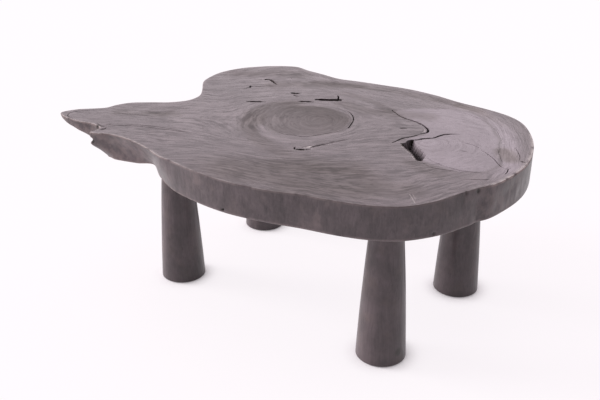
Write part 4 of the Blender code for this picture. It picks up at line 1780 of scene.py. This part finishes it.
@dataclass
class LegTree:
    """The geometry tree of a turned leg: a taper with a slight swell, rounded ends and a stud bore."""

    rings: int = 56
    sides: int = 72
    bore_sides: int = 24
    bumps: Triple = (26.0, 26.0, 9.0)

    def __post_init__(self) -> None:
        """Start the tree with its named inputs."""
        self.graph, self.given, self.result = new_group(
            "turned_leg", "GeometryNodeTree",
            {"Geometry": ("Geometry",), "Float": LEG_SIZES, "Vector": ("Centre",), "Material": ("Finish",)},
            {"Geometry": ("Geometry",)})
        self.length = self.graph.math("SUBTRACT", self.given["Top"], self.given["Bottom"])

    def axis(self) -> Socket:
        """Stand up the leg's axis, with its points closer at both ends.

        Returns:
            The axis as a curve.
        """
        graph = self.graph
        line = graph.geometry("CurvePrimitiveLine", {"Start": (0.0, 0.0, 0.0), "End": UP}, "Curve")
        line = graph.geometry("ResampleCurve", {"Curve": line, "Count": self.rings}, "Curve", mode="COUNT")
        factor = graph.geometry("SplineParameter", {}, "Factor")
        turn = graph.math("COSINE", graph.math("MULTIPLY", factor, math.pi))
        eased = graph.math("MULTIPLY", graph.math("SUBTRACT", 1.0, turn), 0.5)
        height = graph.math("ADD", graph.math("MULTIPLY", eased, self.length), self.given["Bottom"])
        return graph.geometry("SetPosition", {"Geometry": line, "Position": graph.xyz(Z=height)})

    def radius(self) -> Socket:
        """Work out the leg's radius along its axis.

        Returns:
            The radius.
        """
        graph, given = self.graph, self.given
        share = graph.geometry("SplineParameter", {}, "Factor")
        slope = graph.math("SUBTRACT", given["Top Radius"], given["Foot Radius"])
        bow = graph.math("MULTIPLY", graph.math("MULTIPLY", share, graph.math("SUBTRACT", 1.0, share)), 4.0)
        radius = graph.weighted((given["Foot Radius"], 1.0), (slope, share), (bow, given["Swell"]))
        from_foot = graph.math("MULTIPLY", share, self.length)
        from_top = graph.math("SUBTRACT", self.length, from_foot)
        for distance, rounding in ((from_foot, given["Foot Round"]), (from_top, given["Top Arris"])):
            short = graph.math("MAXIMUM", graph.math("SUBTRACT", rounding, distance), 0.0)
            squares = (graph.math("MULTIPLY", side, side) for side in (rounding, short))
            kept = graph.math("MAXIMUM", graph.math("SUBTRACT", *squares), 0.0)
            inset = graph.math("SUBTRACT", rounding, graph.math("SQRT", kept))
            radius = graph.math("SUBTRACT", radius, inset)
        return radius

    def uneven(self, body: Socket) -> Socket:
        """Make the leg's surface waver, as turned wood does.

        Args:
            body: the smooth leg.

        Returns:
            The uneven leg.
        """
        graph, given = self.graph, self.given
        position = graph.geometry("InputPosition", {}, "Position")
        bumps_at = graph.vector("ADD", {0: graph.scaled(position, self.bumps), 1: graph.xyz(Z=given["Seed"])})
        waver = graph.math("SUBTRACT", graph.noise(bumps_at, 2.0), 0.5)
        away = graph.vector("NORMALIZE", {0: graph.scaled(position, (1.0, 1.0, 0.0))})
        reach = graph.math("MULTIPLY", waver, given["Unevenness"])
        offset = graph.vector("SCALE", {0: away, "Scale": reach})
        return graph.geometry("SetPosition", {"Geometry": body, "Offset": offset})

    def bored(self, body: Socket) -> Socket:
        """Drill the hole for the stud into the leg's top.

        Args:
            body: the leg.

        Returns:
            The drilled leg.
        """
        graph, given = self.graph, self.given
        depth = graph.math("SUBTRACT", given["Top"], given["Bore Bottom"])
        drill = graph.geometry("MeshCylinder", {
            "Vertices": self.bore_sides, "Radius": given["Bore Radius"],
            "Depth": graph.math("MULTIPLY", depth, 2.0)}, "Mesh")
        drill = graph.geometry("Transform", {"Geometry": drill, "Translation": graph.xyz(Z=given["Top"])})
        return graph.geometry("MeshBoolean", {"Mesh 1": body, "Mesh 2": drill}, "Mesh",
                              operation="DIFFERENCE", solver="EXACT")

    def make(self) -> bpy.types.NodeTree:
        """Fill the tree.

        Returns:
            The tree, with the leg's sizes as named inputs.
        """
        graph, given = self.graph, self.given
        circle = graph.geometry("CurvePrimitiveCircle", {"Resolution": self.sides, "Radius": 1.0}, "Curve")
        body = graph.geometry("CurveToMesh", {
            "Curve": self.axis(), "Profile Curve": circle, "Scale": self.radius(),
            "Fill Caps": True}, "Mesh")
        body = self.bored(self.uneven(body))
        stood = graph.geometry("Transform", {"Geometry": body, "Translation": given["Centre"]})
        smooth = graph.geometry("SetShadeSmooth", {"Geometry": stood})
        real = graph.geometry("RealizeInstances", {"Geometry": smooth})
        dressed = graph.geometry("SetMaterial", {"Geometry": real, "Material": given["Finish"]})
        graph.feed(self.result, {"Geometry": dressed})
        return graph.tree


@dataclass
class TurnedLeg:
    """One turned leg, wide at the floor and narrow under the slab."""

    corner: Corner
    top_radius: float = 33.0 * MM
    swell: float = 2.0 * MM
    foot_round: float = 2.0 * MM
    top_arris: float = 1.0 * MM
    unevenness: float = 0.8 * MM
    seed_step: float = 3.0
    sharp_from: float = 40.0
    fit: float = 0.3 * MM

    def sizes(self) -> dict[str, Any]:
        """Give the leg's sizes and place, most of them from the frame.

        Returns:
            The values by the names of the tree's inputs.
        """
        low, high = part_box(f"leg_{self.corner.value}")
        stud_low, stud_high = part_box(f"leg_stud_{self.corner.value}")
        return {
            "Bottom": low.z,
            "Top": high.z,
            "Foot Radius": (high.x - low.x) / 2.0,
            "Top Radius": self.top_radius,
            "Swell": self.swell,
            "Foot Round": self.foot_round,
            "Top Arris": self.top_arris,
            "Bore Radius": (stud_high.x - stud_low.x) / 2.0 + self.fit,
            "Bore Bottom": stud_low.z - self.fit,
            "Unevenness": self.unevenness,
            "Seed": self.seed_step * list(Corner).index(self.corner),
            "Centre": (*plan_middle(low, high).tolist(), 0.0),
        }

    def build(self, tree: bpy.types.NodeTree, finish: bpy.types.Material) -> bpy.types.Object:
        """Grow the leg from the tree and keep it as a plain mesh.

        Args:
            tree: the geometry tree of a turned leg.
            finish: the leg's material.

        Returns:
            The leg.
        """
        name = f"turned_leg_{self.corner.value}"
        holder = in_scene(f"{name}_tree", bpy.data.meshes.new(name))
        modifier = holder.modifiers.new("turned_leg", "NODES")
        modifier.node_group = tree
        values = {**self.sizes(), "Finish": finish}
        for item in tree.interface.items_tree:
            if item.in_out == "INPUT" and item.name in values:
                modifier[item.identifier] = values[item.name]
        bpy.context.view_layer.update()
        mesh = bpy.data.meshes.new_from_object(holder.evaluated_get(bpy.context.evaluated_depsgraph_get()))
        holder.modifiers.remove(modifier)
        bpy.data.objects.remove(holder, do_unlink=True)
        mesh.name = name
        mesh.set_sharp_from_angle(angle=math.radians(self.sharp_from))
        leg = in_scene(name, mesh)
        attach(leg, "root")
        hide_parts(f"leg_{self.corner.value}")
        return leg


@dataclass
class Fixings:
    """The plates, studs and screws that hold the legs, and the pads under them: the frame's own solids."""

    steel_pieces: tuple[str, ...] = ("leg_plate", "leg_stud", "plate_screw")
    felt_pieces: tuple[str, ...] = ("foot_pad",)

    def dress(self, steel: bpy.types.Material, felt: bpy.types.Material) -> int:
        """Give every fixing its finish.

        Args:
            steel: the material of the plates, studs and screws.
            felt: the material of the pads.

        Returns:
            How many pieces were dressed.
        """
        dressed = 0
        for name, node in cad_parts.items():
            for starts, material in ((self.steel_pieces, steel), (self.felt_pieces, felt)):
                if name.startswith(starts):
                    node.data.materials.clear()
                    node.data.materials.append(material)
                    dressed += 1
        return dressed


@dataclass(frozen=True)
class Lamp:
    """A soft lamp from far away, with its width in degrees."""

    name: str
    strength: float
    width: float

    def hang(self, beam: Vector) -> None:
        """Hang the lamp in the scene, unseen in reflections.

        Args:
            beam: the direction that its light runs in.
        """
        data = bpy.data.lights.new(self.name, "SUN")
        data.energy = self.strength
        data.angle = math.radians(self.width)
        lamp = in_scene(self.name, data)
        lamp.rotation_euler = beam.to_track_quat("-Z", "Y").to_euler()
        lamp.visible_glossy = False


@dataclass
class Studio:
    """Pale floor, soft light and the camera at the photograph's angle."""

    white: Colour = (1.0, 0.955, 0.985)
    floor_colour: Colour = (0.97, 0.93, 0.955)
    floor_size: float = 16.0
    floor_roughness: float = 0.9
    floor_glow: float = 0.90
    contact_reach: float = 0.06
    contact_samples: int = 8
    contact_range: Range = (0.45, 0.94)
    contact_dark: float = 0.26
    room_tint: Colour = (1.0, 0.908, 0.960)
    room_turn: Range = (-0.45, 0.45)
    room_glow: Range = (1.18, 0.08)
    left_turn: Range = (0.25, 0.85)
    left_glow: float = 1.2
    overhead_lamp: Lamp = Lamp("overhead_lamp", 0.60, 50.0)
    overhead_beam: Triple = (0.1, 0.1, -1.0)
    left_lamp: Lamp = Lamp("left_lamp", 4.3, 26.0)
    left_lamp_height: float = 18.0
    left_lamp_back: float = 16.0
    camera_place: Triple = (1.0349, -1.4468, 1.0393)
    camera_turn: float = 36.03
    camera_pitch: float = 24.97
    focal_length: float = 46.59
    sensor_width: float = 36.0

    def toward_camera(self) -> Vector:
        """Level direction from the table towards the camera."""
        turn = math.radians(self.camera_turn)
        return Vector((math.sin(turn), -math.cos(turn), 0.0))

    def make_floor(self) -> bpy.types.Object:
        """Lay the floor, which glows to the camera like the backdrop but keeps the table's shadow.

        Returns:
            The floor.
        """
        half = self.floor_size / 2.0
        corners = [(-half, -half, 0.0), (half, -half, 0.0), (half, half, 0.0), (-half, half, 0.0)]
        mesh = bpy.data.meshes.new("studio_floor")
        mesh.from_pydata(corners, [], [(0, 1, 2, 3)])
        floor = in_scene("studio_floor", mesh)
        material, graph, shader = new_material("studio_floor_paint")
        graph.feed(shader, {"Base Color": (*self.floor_colour, 1.0), "Roughness": self.floor_roughness,
                            "Specular IOR Level": 0.0})
        glow = graph.add("ShaderNodeEmission", {"Color": (*self.white, 1.0), "Strength": 1.0})
        rays = graph.add("ShaderNodeLightPath").outputs
        mirrored = graph.math("MAXIMUM", rays["Is Glossy Ray"], rays["Is Transmission Ray"])
        seen = graph.math("MAXIMUM", rays["Is Camera Ray"], mirrored)
        open_sky = graph.add("ShaderNodeAmbientOcclusion", {"Distance": self.contact_reach},
                             samples=self.contact_samples)
        contact = graph.between(open_sky.outputs["AO"], *self.contact_range, self.contact_dark, 1.0)
        share = graph.math("MULTIPLY", seen, graph.math("MULTIPLY", contact, self.floor_glow))
        blend = graph.add("ShaderNodeMixShader", {
            0: share, 1: shader.outputs["BSDF"], 2: glow.outputs["Emission"]})
        graph.feed(material.node_tree.nodes["Material Output"], {"Surface": blend.outputs[0]})
        mesh.materials.append(material)
        return floor

    def make_room(self) -> None:
        """Light the table from a bright room, darker on the camera's side."""
        world = bpy.data.worlds.new("studio_room")
        bpy.context.scene.world = world
        world.use_nodes = True
        graph = Graph(world.node_tree)
        direction = graph.add("ShaderNodeTexCoord").outputs["Generated"]
        toward = self.toward_camera()
        facing, beside = (graph.vector("DOT_PRODUCT", {0: direction, 1: way}, "Value")
                          for way in (toward, toward.cross(UP)))
        room = graph.math("MAXIMUM", graph.between(facing, *self.room_turn, *self.room_glow),
                          graph.between(beside, *self.left_turn, 0.0, self.left_glow))
        seen = graph.add("ShaderNodeLightPath").outputs["Is Camera Ray"]
        graph.feed(world.node_tree.nodes["Background"], {
            "Color": graph.mix(seen, self.room_tint, self.white),
            "Strength": graph.mix_values(seen, room, 1.0)})

    def hang_lamps(self) -> None:
        """Hang a soft lamp above the table and one low at its left."""
        toward = self.toward_camera()
        height, back = math.radians(self.left_lamp_height), math.radians(self.left_lamp_back)
        level = toward.cross(-UP) * math.cos(back) + toward * math.sin(back)
        self.overhead_lamp.hang(Vector(self.overhead_beam))
        self.left_lamp.hang(level * math.cos(height) - UP * math.sin(height))

    def make_camera(self) -> None:
        """Stand the camera where the photograph was taken from."""
        data = bpy.data.cameras.new("studio_camera")
        data.sensor_width = self.sensor_width
        data.lens = self.focal_length
        camera = in_scene("studio_camera", data)
        camera.location = self.camera_place
        camera.rotation_euler = (math.radians(90.0 - self.camera_pitch), 0.0, math.radians(self.camera_turn))
        bpy.context.scene.camera = camera
        bpy.context.scene.view_settings.view_transform = "Standard"


def main() -> None:
    """Build the table piece by piece, then the studio round it."""
    logging.basicConfig(level=logging.INFO, format="%(name)s: %(message)s")
    grain, wear_and_painted_light = StainedGrain().make(), RubbedHighlightAndHollowShade().make()
    slab = LiveEdgeSlab().build([SawnStain().make(grain, wear_and_painted_light), LIVE_EDGE_STAIN.make(grain, wear_and_painted_light)])
    LOG.info("%s: %d faces", slab.name, len(slab.data.polygons))
    tree, leg_finish = LegTree().make(), LEG_STAIN.make(grain, wear_and_painted_light)
    for corner in Corner:
        leg = TurnedLeg(corner).build(tree, leg_finish)
        LOG.info("%s: %d faces", leg.name, len(leg.data.polygons))
    LOG.info("fixings dressed: %d", Fixings().dress(ZincSteel().make(), PressedFelt().make()))
    studio = Studio()
    LOG.info("floor laid: %s", studio.make_floor().name)
    studio.make_room()
    studio.hang_lamps()
    studio.make_camera()


if __name__ == "__main__":
    main()
